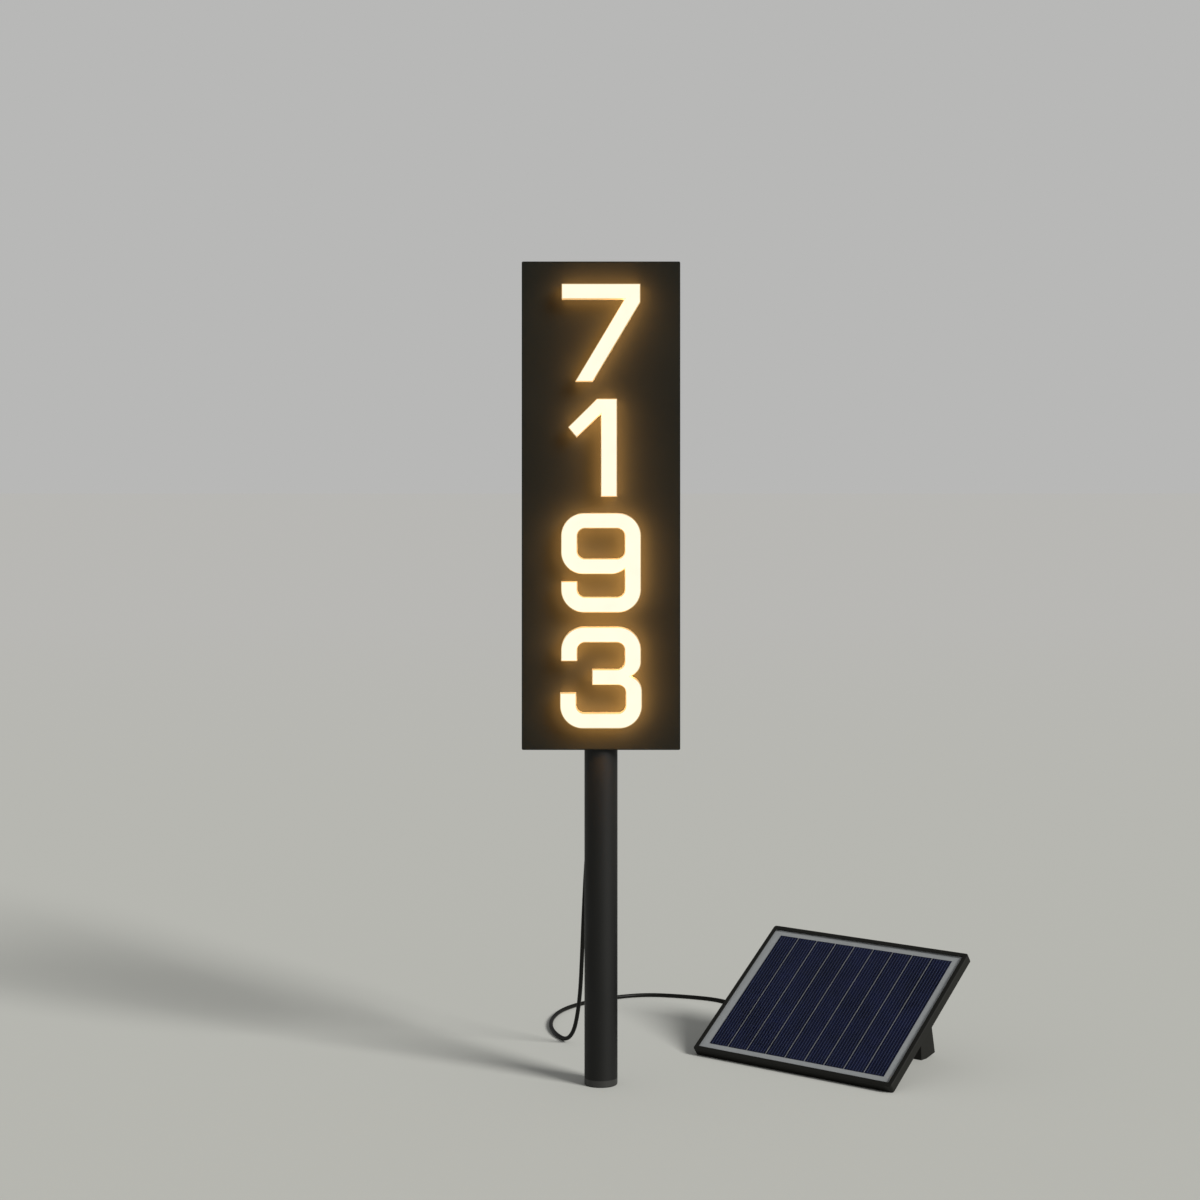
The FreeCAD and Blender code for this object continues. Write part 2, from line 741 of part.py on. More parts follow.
def make_controller():
    """Charge and dimming board on four standoffs."""
    y0 = tray_back + standoff_length
    y1 = y0 + board_wall
    board = block(-board_width / 2, board_width / 2, y0, y1,
                  board_z - board_length / 2, board_z + board_length / 2)
    standoffs = []
    screws = []
    for x, z in board_hole_places():
        board = board.cut(rod(board_screw_radius + running_gap, board_wall, (x, y0, z), (0, 1, 0)))
        standoffs.append(pipe(standoff_radius, board_screw_radius + screw_grip, standoff_length,
                              (x, tray_back, z), (0, 1, 0)))
        screws.append(button_screw(board_screw_radius, board_wall + standoff_length - 0.5, (x, y1, z),
                                   (0, 1, 0)))
    row = board_length / 2 - socket_end
    pieces = [board_part(x, z, socket_width, socket_length, socket_height)
              for x, z in ((-socket_side, -row), (socket_side, -row), (0, row))]
    pieces.append(board_part(switch_socket_side, switch_socket_rise, socket_length, socket_length,
                             socket_height))
    pieces.append(board_part(-coil_left, 0, coil_side, coil_side, coil_height))
    pieces.append(board_part(0, 0, chip_width, chip_length, chip_height))
    pieces.append(rod(capacitor_radius, capacitor_height, (capacitor_side, y1, board_z - capacitor_drop),
                      (0, 1, 0)))
    save("controller_board", board)
    save("controller_parts", Part.makeCompound(pieces))
    save("board_standoffs", Part.makeCompound(standoffs))
    save("board_screws", Part.makeCompound(screws))


def make_inner_leads():
    """Leads inside the box, from socket to socket."""
    bend = lead_bend
    y = tray_back + standoff_length + board_wall + socket_height / 2
    socket_reach = board_length / 2 - socket_end + socket_length / 2
    socket_low = board_z - socket_reach
    gland_back = cover_front - gland_thread_reach()
    battery_top = battery_z + cell_pitch / 2 + cell_radius + holder_wall + running_gap
    lane = cell_length / 2 + clearance + holder_wall + lead_lane
    panel_lead = [(0, gland_back, gland_z), (0, gland_back - 0.7 * bend, gland_z),
                  (0.32 * lane, gland_back - bend, gland_z + 0.2 * bend),
                  (0.81 * lane, gland_back - bend, gland_z + bend), (lane, y - 1, battery_z - 0.6 * bend),
                  (lane, y, battery_top), (2 * socket_side, y, socket_low - 2.2 * bend),
                  (socket_side, y, socket_low - 1.2 * bend), (socket_side, y, socket_low)]
    battery_y = tray_back + 0.7 * bend
    battery_lead = [(-socket_side, battery_y, battery_top), (-socket_side, battery_y, battery_top + bend),
                    (-socket_side - 1, y - 1, battery_top + 2 * bend),
                    (-socket_side, y, socket_low - 0.9 * bend), (-socket_side, y, socket_low)]
    hole_z = lead_hole_height()
    led_lead = [(0, y, board_z + socket_reach), (0, y, board_z + socket_reach + 0.8 * bend),
                (0.3 * bend, y - 1, hole_z - 0.5 * bend), (0, y - 0.6 * bend, hole_z),
                (0, tray_front, hole_z)]
    switch_back = cover_front - switch_body_length
    outer = lane + lead_lane_gap
    socket_z = board_z + switch_socket_rise
    switch_lead = [(switch_side, switch_back, switch_z), (switch_side, switch_back - 0.4 * bend, switch_z),
                   (switch_side + 0.9 * bend, switch_back - 0.4 * bend, switch_z + 1.2 * bend),
                   (outer, y, battery_z + bend), (outer, y, socket_low - 0.5 * bend),
                   (outer - 0.7 * bend, y, socket_z - bend), (outer - 2 * bend, y, socket_z),
                   (switch_socket_side + socket_length / 2, y, socket_z)]
    save("panel_lead", tube_along(panel_lead, panel_lead_radius, "panel_lead"))
    save("battery_lead", tube_along(battery_lead, inner_lead_radius, "battery_lead"))
    save("led_lead", tube_along(led_lead, inner_lead_radius, "led_lead"))
    save("switch_lead", tube_along(switch_lead, inner_lead_radius, "switch_lead"))


# ---------------------------------------------------------------- fittings on the rear cover
def gland(hex_length, dome_length, thread_length, wall):
    """A cable gland that looks along +Z: body, dome nut and seal. It sits on z = 0."""
    bore = cable_radius + running_gap
    body = hexagon(gland_flats, hex_length, (0, 0, 0), (0, 0, 1))
    body = body.fuse(rod(gland_thread, thread_length + wall, (0, 0, 0), (0, 0, -1)))
    neck = dome_length - gland_cap
    body = body.fuse(rod(gland_thread, neck, (0, 0, hex_length), (0, 0, 1)))
    body = body.cut(rod(seal_radius, neck, (0, 0, hex_length), (0, 0, 1)))
    body = body.cut(rod(cable_radius + gland_play, hex_length + thread_length + wall,
                        (0, 0, -thread_length - wall), (0, 0, 1))).removeSplitter()
    seal = pipe(seal_radius - 0.05, bore, neck - 1, (0, 0, hex_length + 0.5), (0, 0, 1))
    seat = hex_length + running_gap
    dome = hexagon(gland_flats - 1, dome_length * gland_nut_share, (0, 0, seat), (0, 0, 1))
    cap = rod(gland_dome_radius, dome_length - running_gap, (0, 0, seat), (0, 0, 1))
    cap = cap.makeFillet(gland_dome_edge, edges_at(cap, 2, hex_length + dome_length))
    dome = dome.fuse(cap)
    dome = dome.cut(rod(gland_thread + screw_grip, neck, (0, 0, hex_length), (0, 0, 1)))
    dome = dome.cut(rod(bore, dome_length, (0, 0, hex_length), (0, 0, 1))).removeSplitter()
    return body, dome, seal


def turned(shape, base, direction):
    """A piece that looks along +Z, put at base and turned to direction."""
    shape.Placement = FreeCAD.Placement(V(*base), FreeCAD.Rotation(V(0, 0, 1), V(*direction)))
    return shape


def make_sign_gland():
    """Gland on the rear cover, where the cable leaves."""
    base = (0, rear, gland_z)
    body, dome, seal = gland(gland_hex, gland_dome, gland_thread_reach(), cover_wall)
    save("sign_gland_body", turned(body, base, (0, 1, 0)))
    save("sign_gland_nut", turned(dome, base, (0, 1, 0)))
    save("sign_gland_seal", turned(seal, base, (0, 1, 0)))
    nut_base = (0, cover_front - gland_locknut, gland_z)
    locknut = hexagon(gland_flats, gland_locknut, nut_base, (0, 1, 0))
    locknut = locknut.cut(rod(gland_thread + screw_grip, gland_locknut, nut_base, (0, 1, 0)))
    save("sign_gland_locknut", locknut)


def gland_thread_reach():
    """How far the gland's thread goes behind the wall it sits on."""
    return gland_locknut + gland_spare_thread


def make_switch():
    """Push switch on the rear cover: body, nut and the button that travels."""
    x = switch_side
    z = switch_z
    body = rod(switch_bezel, switch_bezel_wall, (x, rear, z), (0, 1, 0))
    body = body.makeFillet(switch_bezel_edge, edges_at(body, 1, rear + switch_bezel_wall))
    body = body.fuse(rod(switch_thread, switch_body_length + cover_wall, (x, rear, z), (0, -1, 0)))
    pocket = button_travel + button_guide
    floor = rear + switch_bezel_wall - pocket
    body = body.cut(rod(button_radius + running_gap, pocket, (x, floor, z), (0, 1, 0)))
    save("switch_body", body.removeSplitter())
    nut_base = (x, cover_front - switch_nut_wall, z)
    nut = hexagon(switch_nut_flats, switch_nut_wall, nut_base, (0, 1, 0))
    save("switch_nut", nut.cut(rod(switch_thread + screw_grip, switch_nut_wall, nut_base, (0, 1, 0))))
    low = floor + button_travel + clearance
    top = rear + switch_bezel_wall + button_rise
    button = rod(button_radius, top - low, (x, low, z), (0, 1, 0))
    button = button.makeFillet(button_edge, edges_at(button, 1, top))
    save("power_button", button)


# ---------------------------------------------------------------- post
def make_post():
    """Tube, spigot under the box, foot plug with its thread, and the screws that hold them."""
    tube = pipe(post_radius, tube_bore, sign_base - foot_height, (0, 0, foot_height), (0, 0, 1))
    across = spigot_plate_width / 2
    deep = spigot_plate_depth / 2
    thick = spigot_plate_wall
    floor = sign_base + shell_wall
    plate = rounded_block(-across, across, -deep, deep, floor, floor + thick, spigot_plate_round, (0, 0, 1))
    spigot = plate.fuse(rod(spigot_radius, spigot_length + shell_wall, (0, 0, floor), (0, 0, -1)))
    spigot = spigot.cut(rod(spigot_radius - spigot_wall, spigot_length + shell_wall + thick,
                            (0, 0, floor + thick), (0, 0, -1)))
    screws = []
    for x, y in spigot_screw_places():
        spigot = spigot.cut(rod(spigot_screw_radius + screw_grip, thick, (x, y, floor), (0, 0, 1)))
        seat = V(x, y, sign_base)
        head = Part.makeCone(spigot_screw_head, spigot_screw_radius, shell_wall, seat, V(0, 0, 1))
        head = head.fuse(rod(spigot_screw_radius, spigot_screw_length, (x, y, sign_base), (0, 0, 1)))
        head = head.cut(hexagon(grub_socket, 0.7 * shell_wall, (x, y, sign_base), (0, 0, 1)))
        screws.append(head.removeSplitter())
    plug = rod(post_radius, foot_height, (0, 0, 0), (0, 0, 1))
    plug = plug.makeFillet(foot_edge, edges_at(plug, 2, 0))
    plug = plug.fuse(rod(spigot_radius, foot_height + foot_spigot, (0, 0, 0), (0, 0, 1))).removeSplitter()
    plug = plug.cut(rod(insert_radius + screw_grip, insert_length, (0, 0, 0), (0, 0, 1)))
    grubs = []
    inner = post_radius - grub_sunk - grub_length
    socket_floor = inner + grub_length - grub_socket
    for z in (sign_base - upper_grub, sign_base - lower_grub, foot_grub):
        tube = tube.cut(rod(grub_radius + running_gap, post_radius, (0, tube_bore - 1, z), (0, 1, 0)))
        hole = rod(grub_radius + screw_grip, grub_length + 1, (0, inner, z), (0, 1, 0))
        spigot = spigot.cut(hole)
        plug = plug.cut(hole)
        grub = rod(grub_radius, grub_length, (0, inner, z), (0, 1, 0))
        grubs.append(grub.cut(hexagon(grub_socket, grub_socket, (0, socket_floor, z), (0, 1, 0))))
    save("post_tube", tube)
    save("post_spigot", spigot.removeSplitter())
    save("spigot_screws", Part.makeCompound(screws))
    save("foot_plug", plug)
    save("foot_insert", pipe(insert_radius, insert_bore, insert_length, (0, 0, 0), (0, 0, 1)))
    save("grub_screws", Part.makeCompound(grubs))


# ---------------------------------------------------------------- panel
def panel_place():
    """Placement of the panel's frame in the part."""
    lean = FreeCAD.Rotation(V(1, 0, 0), panel_tilt)
    turn = FreeCAD.Rotation(V(0, 0, 1), -panel_yaw)
    return FreeCAD.Placement(V(panel_corner_right, panel_corner_back, 0), turn.multiply(lean))


def on_panel(shape):
    """A piece that was made in the panel's frame, moved to its place."""
    moved = shape.copy()
    moved.Placement = panel_place().multiply(shape.Placement)
    return moved


def panel_point(u, v, n):
    """A point of the panel's frame, in the part's frame."""
    return panel_place().multVec(V(u, v, n))


def make_panel():
    """Moulded frame, glass, cells, pale sheet and back."""
    frame = rounded_block(0, panel_width, 0, panel_length, 0, panel_depth, panel_round, (0, 0, 1))
    frame = frame.makeFillet(panel_edge, edges_at(frame, 2, panel_depth))
    frame = frame.cut(block(panel_wall, panel_width - panel_wall, panel_wall, panel_length - panel_wall,
                            0, glass_top))
    frame = frame.cut(block(panel_lip, panel_width - panel_lip, panel_lip, panel_length - panel_lip,
                            glass_top, panel_depth))
    glass = block(rebate, panel_width - rebate, rebate, panel_length - rebate, cells_top, glass_top)
    sheet = block(rebate, panel_width - rebate, rebate, panel_length - rebate, sheet_bottom, sheet_top)
    strips = []
    pitch = (panel_width - 2 * cell_margin_side + cell_strip_gap) / cell_strip_count
    for i in range(cell_strip_count):
        u = cell_margin_side + i * pitch
        strips.append(block(u, u + pitch - cell_strip_gap, cell_margin_end, panel_length - cell_margin_end,
                            sheet_top, cells_top))
    back = block(rebate, panel_width - rebate, rebate, panel_length - rebate, 0, sheet_bottom)
    inset = rebate + panel_back_rib
    back = back.cut(block(inset, panel_width - inset, inset, panel_length - inset,
                          panel_back_wall, sheet_bottom))
    screw_places = bracket_screw_places() + junction_screw_places()
    for u, v in screw_places:
        back = back.fuse(rod(panel_boss, sheet_bottom - panel_back_wall, (u, v, panel_back_wall), (0, 0, 1)))
    for u, v in screw_places:
        back = back.cut(rod(small_screw_radius + screw_grip, sheet_bottom - 0.5, (u, v, 0), (0, 0, 1)))
    back = back.cut(rod(wire_hole_radius, panel_back_wall,
                        (junction_side, junction_v + wire_hole_rise, 0), (0, 0, 1)))
    save("panel_frame", on_panel(frame))
    save("panel_glass", on_panel(glass))
    save("cell_strips", on_panel(Part.makeCompound(strips)))
    save("back_sheet", on_panel(sheet))
    save("panel_back", on_panel(back.removeSplitter()))


def junction_screw_places():
    """U and V of the junction cover's screws, in its end ears."""
    across = junction_width / 2 - junction_screw_inset
    along = junction_length / 2 - junction_ear / 2 + 0.5
    return [(junction_side + i * across, junction_v + j * along) for i in (-1, 1) for j in (-1, 1)]


def make_junction():
    """Cover for the panel's wires, with its gasket, screws, terminals and gland."""
    u = junction_side
    v = junction_v
    left = u - junction_width / 2
    right = u + junction_width / 2
    low = v - junction_length / 2
    high = v + junction_length / 2
    tub_low = low + junction_ear
    tub_high = high - junction_ear
    base = -junction_gasket_wall
    deep = -junction_depth
    seat = base - junction_flange
    wall = junction_wall
    cover = rounded_block(left, right, low, high, seat, base, junction_round, (0, 0, 1))
    cover = cover.fuse(rounded_block(left, right, tub_low, tub_high, deep, base, junction_tub_round,
                                     (0, 0, 1)))
    cover = cover.cut(block(left + wall, right - wall, tub_low + wall, tub_high - wall, deep + wall, base))
    cover = cover.cut(rod(gland_thread + running_gap, wall, (u, v, deep), (0, 0, 1)))
    gasket = rounded_block(left, right, low, high, base, 0, junction_round, (0, 0, 1))
    gasket = gasket.cut(block(left + wall, right - wall, tub_low + wall, tub_high - wall, base, 0))
    screws = []
    grip = junction_flange + junction_gasket_wall
    for x, y in junction_screw_places():
        hole = rod(small_screw_radius + running_gap, grip, (x, y, seat), (0, 0, 1))
        cover = cover.cut(hole)
        gasket = gasket.cut(hole)
        screws.append(button_screw(small_screw_radius, grip + sheet_bottom - 1, (x, y, seat), (0, 0, -1),
                                   small_screw_head))
    save("junction_cover", on_panel(cover.removeSplitter()))
    save("junction_gasket", on_panel(gasket))
    save("junction_screws", on_panel(Part.makeCompound(screws)))
    row = v + terminal_rise
    terminals = block(u - terminal_width / 2, u + terminal_width / 2, row - terminal_length / 2,
                      row + terminal_length / 2, base - terminal_height, 0)
    save("terminal_block", on_panel(terminals))
    body, dome, seal = gland(panel_gland_hex, panel_gland_dome, panel_gland_thread, wall)
    place = (u, v, deep)
    save("panel_gland_body", on_panel(turned(body, place, (0, 0, -1))))
    save("panel_gland_nut", on_panel(turned(dome, place, (0, 0, -1))))
    save("panel_gland_seal", on_panel(turned(seal, place, (0, 0, -1))))


def cheek_sides():
    """Middle of each cheek across the panel."""
    return (stand_side, panel_width - stand_side)


def bracket_screw_places():
    """U and V of the hinge brackets' screws."""
    reach = cheek_wall / 2 + ear_gap + ear_wall + bracket_side / 2
    return [(side + i * reach, pivot_v + j * bracket_screw_side)
            for side in cheek_sides() for i in (-1, 1) for j in (-1, 1)]


def make_brackets():
    """Two hinge brackets with their screws and pins."""
    inner = cheek_wall / 2 + ear_gap
    reach = inner + ear_wall + bracket_side
    for name, side in zip(("left_hinge_bracket", "right_hinge_bracket"), cheek_sides()):
        bracket = rounded_block(side - reach, side + reach, pivot_v - bracket_length / 2,
                                pivot_v + bracket_length / 2, -bracket_wall, 0, bracket_round, (0, 0, 1))
        for sign in (-1, 1):
            u0 = side + (inner if sign > 0 else -inner - ear_wall)
            ear = block(u0, u0 + ear_wall, pivot_v - cheek_boss, pivot_v + cheek_boss, pivot_n, 0)
            ear = ear.fuse(rod(cheek_boss, ear_wall, (u0, pivot_v, pivot_n), (1, 0, 0)))
            bracket = bracket.fuse(ear)
        bracket = bracket.cut(rod(pin_radius + screw_grip, 2 * reach, (side - reach, pivot_v, pivot_n),
                                  (1, 0, 0)))
        for u, v in bracket_screw_places():
            if abs(u - side) < reach:
                bracket = bracket.cut(rod(small_screw_radius + running_gap, bracket_wall,
                                          (u, v, -bracket_wall), (0, 0, 1)))
        save(name, on_panel(bracket.removeSplitter()))
    screws = [button_screw(small_screw_radius, bracket_wall + sheet_bottom - 1, (u, v, -bracket_wall),
                           (0, 0, -1), small_screw_head) for u, v in bracket_screw_places()]
    save("bracket_screws", on_panel(Part.makeCompound(screws)))
    half = inner + ear_wall
    pins = []
    for side in cheek_sides():
        pin = rod(pin_radius, 2 * (half + pin_end_gap), (side - half - pin_end_gap, pivot_v, pivot_n),
                  (1, 0, 0))
        for start in (side - half - pin_head_wall, side + half):
            pin = pin.fuse(rod(pin_head, pin_head_wall, (start, pivot_v, pivot_n), (1, 0, 0)))
        pins.append(pin.removeSplitter())
    save("pivot_pins", on_panel(Part.makeCompound(pins)))


def upright_place():
    """Placement of a frame that stands at the panel's back edge: u across, b along the ground, z up."""
    turn = FreeCAD.Rotation(V(0, 0, 1), -panel_yaw)
    return FreeCAD.Placement(V(panel_corner_right, panel_corner_back, 0), turn)


def pivot_on_ground():
    """B and Z of the stand's pivot in the upright frame."""
    tilt = math.radians(panel_tilt)
    return (pivot_v * math.cos(tilt) - pivot_n * math.sin(tilt),
            pivot_v * math.sin(tilt) + pivot_n * math.cos(tilt))


def cheek_profile(u):
    """One cheek's outline in the plane across u: boss, straight sides and a sole with a raised heel."""
    b, z = pivot_on_ground()
    foot_front = b - cheek_foot_setback
    toe = V(u, foot_front, 0)
    heel = V(u, foot_front + cheek_foot_width, cheek_foot_lift)
    flat = V(u, foot_front + cheek_foot_flat, 0)
    centre = V(u, b, z)
    front_at = tangent_point(centre, toe, 1)
    rear_at = tangent_point(centre, heel, -1)
    crown = centre + V(0, 0.3, 1).normalize() * cheek_boss
    edges = [Part.LineSegment(toe, front_at).toShape(), Part.Arc(front_at, crown, rear_at).toShape(),
             Part.LineSegment(rear_at, heel).toShape(), Part.LineSegment(heel, flat).toShape(),
             Part.LineSegment(flat, toe).toShape()]
    return Part.Face(Part.Wire(edges))


def tangent_point(centre, point, side):
    """Where a line from point touches the boss; side picks the front or the rear."""
    reach = point - centre
    angle = math.acos(cheek_boss / reach.Length) * side
    along = V(0, reach.y, reach.z).normalize()
    turned_y = along.y * math.cos(angle) + along.z * math.sin(angle)
    turned_z = -along.y * math.sin(angle) + along.z * math.cos(angle)
    return centre + V(0, turned_y, turned_z) * cheek_boss


def make_stand():
    """Folding stand: two cheeks and the crossbar between their feet, one moulding."""
    b, z = pivot_on_ground()
    stand = None
    for side in cheek_sides():
        cheek = cheek_profile(side - cheek_wall / 2).extrude(V(cheek_wall, 0, 0))
        stand = cheek if stand is None else stand.fuse(cheek)
    first, last = cheek_sides()
    toe = V(0, b - cheek_foot_setback, 0)
    front_at = tangent_point(V(0, b, z), toe, 1)
    lean = (front_at - toe).normalize()
    across = V(0, lean.z, -lean.y)
    low = toe
    low_back = V(0, toe.y + crossbar_wall / across.y, 0)
    high = toe + lean * crossbar_height
    high_back = high + across * crossbar_wall
    corners = [V(first, p.y, p.z) for p in (low, low_back, high_back, high, low)]
    bar = Part.Face(Part.makePolygon(corners)).extrude(V(last - first, 0, 0))
    stand = stand.fuse(bar)
    stand = stand.cut(rod(pin_radius + pin_play, panel_width, (0, b, z), (1, 0, 0))).removeSplitter()
    stand.Placement = upright_place()
    save("kick_stand", stand)
    pivot = upright_place().multVec(V(0, b, z))
    axis = upright_place().Rotation.multVec(V(1, 0, 0))
    print("pivot %.3f %.3f %.3f  axis %.5f %.5f %.5f" % (pivot.x, pivot.y, pivot.z, axis.x, axis.y, axis.z))


# ---------------------------------------------------------------- free cable
def make_cable():
    """Cable from the sign's gland, down behind the post, round on the floor and up to the panel."""
    floor = cable_radius + floor_gap
    start = V(0, rear + gland_hex + gland_dome, gland_z)
    end_n = -junction_depth - panel_gland_hex - panel_gland_dome
    end = panel_point(junction_side, junction_v, end_n)
    near_end = panel_point(junction_side, junction_v, end_n - cable_run_in)
    points = [tuple(start), (-0.6, 64.0, 373.0), (-3.0, 91.0, 352.0), (-7.0, 108.0, 311.0),
              (-12.0, 112.0, 257.0), (-16.0, 111.5, 204.0), (-18.5, 117.0, 152.0), (-20.3, 128.0, 105.0),
              (-22.1, 141.0, 66.0), (-25.0, 153.0, 38.0), (-29.5, 163.5, 14.5), (-38.0, 176.0, floor),
              (-50.5, 205.0, floor), (-57.0, 243.0, floor), (-55.5, 284.0, floor), (-45.0, 325.0, floor),
              (-22.0, 359.0, floor), (15.0, 390.0, floor), (55.0, 405.0, floor), (98.0, 395.0, floor),
              (139.0, 377.0, floor), (159.4, 346.2, floor), (174.1, 310.6, floor), (191.6, 275.3, floor),
              (204.0, 245.0, floor), (208.0, 221.0, 8.0), tuple(near_end), tuple(end)]
    print("cable start", tuple(start))
    print("cable end", tuple(near_end), tuple(end))
    save("solar_cable", tube_along(points, cable_radius, "solar_cable"))


# ---------------------------------------------------------------- whole part
make_face_shell()
make_figures()
make_light_engine()
make_battery()
make_controller()
make_inner_leads()
make_rear_cover()
make_sign_gland()
make_switch()
make_post()
make_panel()
make_junction()
make_brackets()
make_stand()
make_cable()
print("%d nodes" % len(written))
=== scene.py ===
"""Looks of the lit house number sign: box, figures, post, cable and the small solar panel.

Metres, +Z up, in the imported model's own frame. The lit face looks towards -Y.
"""
from __future__ import annotations

import json
import logging
import math
from dataclasses import dataclass, field
from enum import Enum
from functools import cache
from typing import Any, Sequence

import bmesh
import bpy
from mathutils import Matrix, Vector

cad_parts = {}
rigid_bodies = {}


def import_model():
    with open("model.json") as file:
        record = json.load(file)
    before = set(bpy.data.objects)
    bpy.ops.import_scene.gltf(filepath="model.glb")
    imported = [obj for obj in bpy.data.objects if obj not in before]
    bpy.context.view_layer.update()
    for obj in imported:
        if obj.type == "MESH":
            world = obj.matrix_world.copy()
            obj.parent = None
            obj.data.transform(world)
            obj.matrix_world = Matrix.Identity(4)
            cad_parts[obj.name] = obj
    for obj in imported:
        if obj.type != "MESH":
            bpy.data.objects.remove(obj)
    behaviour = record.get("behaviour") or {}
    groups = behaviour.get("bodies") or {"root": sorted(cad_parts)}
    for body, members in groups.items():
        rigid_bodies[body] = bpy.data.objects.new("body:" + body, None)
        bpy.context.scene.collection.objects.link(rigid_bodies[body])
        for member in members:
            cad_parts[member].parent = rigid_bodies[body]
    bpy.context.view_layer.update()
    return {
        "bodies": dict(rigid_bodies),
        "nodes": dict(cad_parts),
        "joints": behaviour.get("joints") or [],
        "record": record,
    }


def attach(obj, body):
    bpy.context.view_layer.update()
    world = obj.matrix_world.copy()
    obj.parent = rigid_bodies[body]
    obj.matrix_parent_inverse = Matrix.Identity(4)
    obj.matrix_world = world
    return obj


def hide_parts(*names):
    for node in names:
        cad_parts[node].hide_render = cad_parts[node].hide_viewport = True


log = logging.getLogger("number_sign")

MM = 0.001
Colour = tuple[float, float, float]
Place = tuple[float, float, float]
Pair = tuple[float, float]
Socket = bpy.types.NodeSocket


def linear(red: float, green: float, blue: float) -> Colour:
    """Turn a colour as a screen shows it, 0 to 255, into the shader's linear values.

    Args:
        red, green, blue: the three channels.

    Returns:
        The linear colour.
    """
    def channel(value: float) -> float:
        """The screens' standard curve."""
        part = value / 255.0
        return part / 12.92 if part <= 0.04045 else ((part + 0.055) / 1.055) ** 2.4

    return channel(red), channel(green), channel(blue)


def shaded(colour: Colour, share: float) -> Colour:
    """A colour made darker or lighter."""
    return tuple(min(channel * share, 1.0) for channel in colour)


# ---------------------------------------------------------------- node trees
class NodeBench:
    """A node tree, with short calls that add and join its nodes."""

    def __init__(self, tree: bpy.types.NodeTree) -> None:
        """Keep the tree to work in."""
        self.tree = tree

    def put(self, value: Any, socket: Socket) -> None:
        """Join an output to an input, or set the input's constant.

        Args:
            value: an output, a number, a vector or a colour.
            socket: the input.
        """
        if isinstance(value, Socket):
            self.tree.links.new(value, socket)
        elif socket.type == "RGBA":
            socket.default_value = (*value, 1.0)
        else:
            socket.default_value = value

    def add(self, kind: str, **settings: Any) -> bpy.types.Node:
        """Add a node.

        Args:
            kind: the node's type.
            settings: its inputs by name, with underscores for blanks, and its properties.

        Returns:
            The new node.
        """
        node = self.tree.nodes.new(kind)
        for key, value in settings.items():
            socket = node.inputs.get(key.replace("_", " "))
            if socket is None:
                setattr(node, key, value)
            else:
                self.put(value, socket)
        return node

    def maths(self, operation: str, first: Socket | float, second: Socket | float = 0.0) -> Socket:
        """One step of arithmetic.

        Args:
            operation: the step, such as ADD.
            first, second: what it works on.

        Returns:
            The result.
        """
        node = self.add("ShaderNodeMath", operation=operation)
        self.put(first, node.inputs[0])
        self.put(second, node.inputs[1])
        return node.outputs["Value"]


class ShaderBench(NodeBench):
    """A material's node tree."""

    def __init__(self, name: str) -> None:
        """Start an empty material.

        Args:
            name: the material's name.
        """
        self.material = bpy.data.materials.new(name)
        self.material.use_nodes = True
        super().__init__(self.material.node_tree)
        self.tree.nodes.clear()
        self.surface = self.add("ShaderNodeOutputMaterial").inputs["Surface"]
        coordinates = self.add("ShaderNodeTexCoord")
        self.place = coordinates.outputs["Object"]
        self.normal = coordinates.outputs["Normal"]

    def mapped(self, matrix: Matrix | None = None, scale: Sequence[float] = (1, 1, 1)) -> Socket:
        """Object coordinates, taken into a piece's own frame and then scaled.

        Args:
            matrix: the piece's frame, or None for the part's.
            scale: factor on each axis of that frame.

        Returns:
            The vector output.
        """
        source = self.place
        if matrix is not None:
            inverse = matrix.inverted()
            source = self.add("ShaderNodeMapping", Vector=source, Location=inverse.to_translation(),
                              Rotation=inverse.to_euler("XYZ")).outputs["Vector"]
        return self.add("ShaderNodeMapping", Vector=source, Scale=scale).outputs["Vector"]

    def noise(self, where: Socket, scale: float, detail: float = 3.0) -> Socket:
        """A noise pattern.

        Args:
            where: the coordinates.
            scale: cycles for each metre.
            detail: octaves.

        Returns:
            The value output, 0 to 1.
        """
        return self.add("ShaderNodeTexNoise", Vector=where, Scale=scale, Detail=detail).outputs["Fac"]

    def span(self, value: Socket, low: float, high: float, start: float = 0.0, end: float = 1.0) -> Socket:
        """Map a value from one range to another, clamped.

        Args:
            value: the value.
            low, high: the results at both ends.
            start, end: the value's own range.

        Returns:
            The result.
        """
        return self.add("ShaderNodeMapRange", Value=value, From_Min=start, From_Max=end,
                        To_Min=low, To_Max=high).outputs["Result"]

    def blend(self, factor: Socket, first: Socket | Colour, second: Socket | Colour) -> Socket:
        """Mix two colours.

        Args:
            factor: share of the second.
            first, second: the colours.

        Returns:
            The mixed colour.
        """
        node = self.add("ShaderNodeMix", data_type="RGBA", Factor=factor)
        self.put(first, node.inputs[6])
        self.put(second, node.inputs[7])
        return node.outputs[2]

    def choose(self, factor: Socket, first: Socket | float, second: Socket | float) -> Socket:
        """Mix two values.

        Args:
            factor: share of the second.
            first, second: the values.

        Returns:
            The mixed value.
        """
        node = self.add("ShaderNodeMix", data_type="FLOAT", Factor=factor)
        self.put(first, node.inputs[2])
        self.put(second, node.inputs[3])
        return node.outputs[0]

    def relief(self, height: Socket, depth: float) -> Socket:
        """Turn a height pattern into a normal.

        Args:
            height: the pattern.
            depth: its depth in metres.

        Returns:
            The normal output.
        """
        return self.add("ShaderNodeBump", Height=height, Strength=1.0, Distance=depth).outputs["Normal"]

    def principled(self, **sockets: Any) -> Socket:
        """Add the surface shader and join it to the material's output.

        Args:
            sockets: its inputs by name, with underscores for blanks.

        Returns:
            The shader's output.
        """
        shader = self.add("ShaderNodeBsdfPrincipled", **sockets).outputs["BSDF"]
        self.put(shader, self.surface)
        return shader


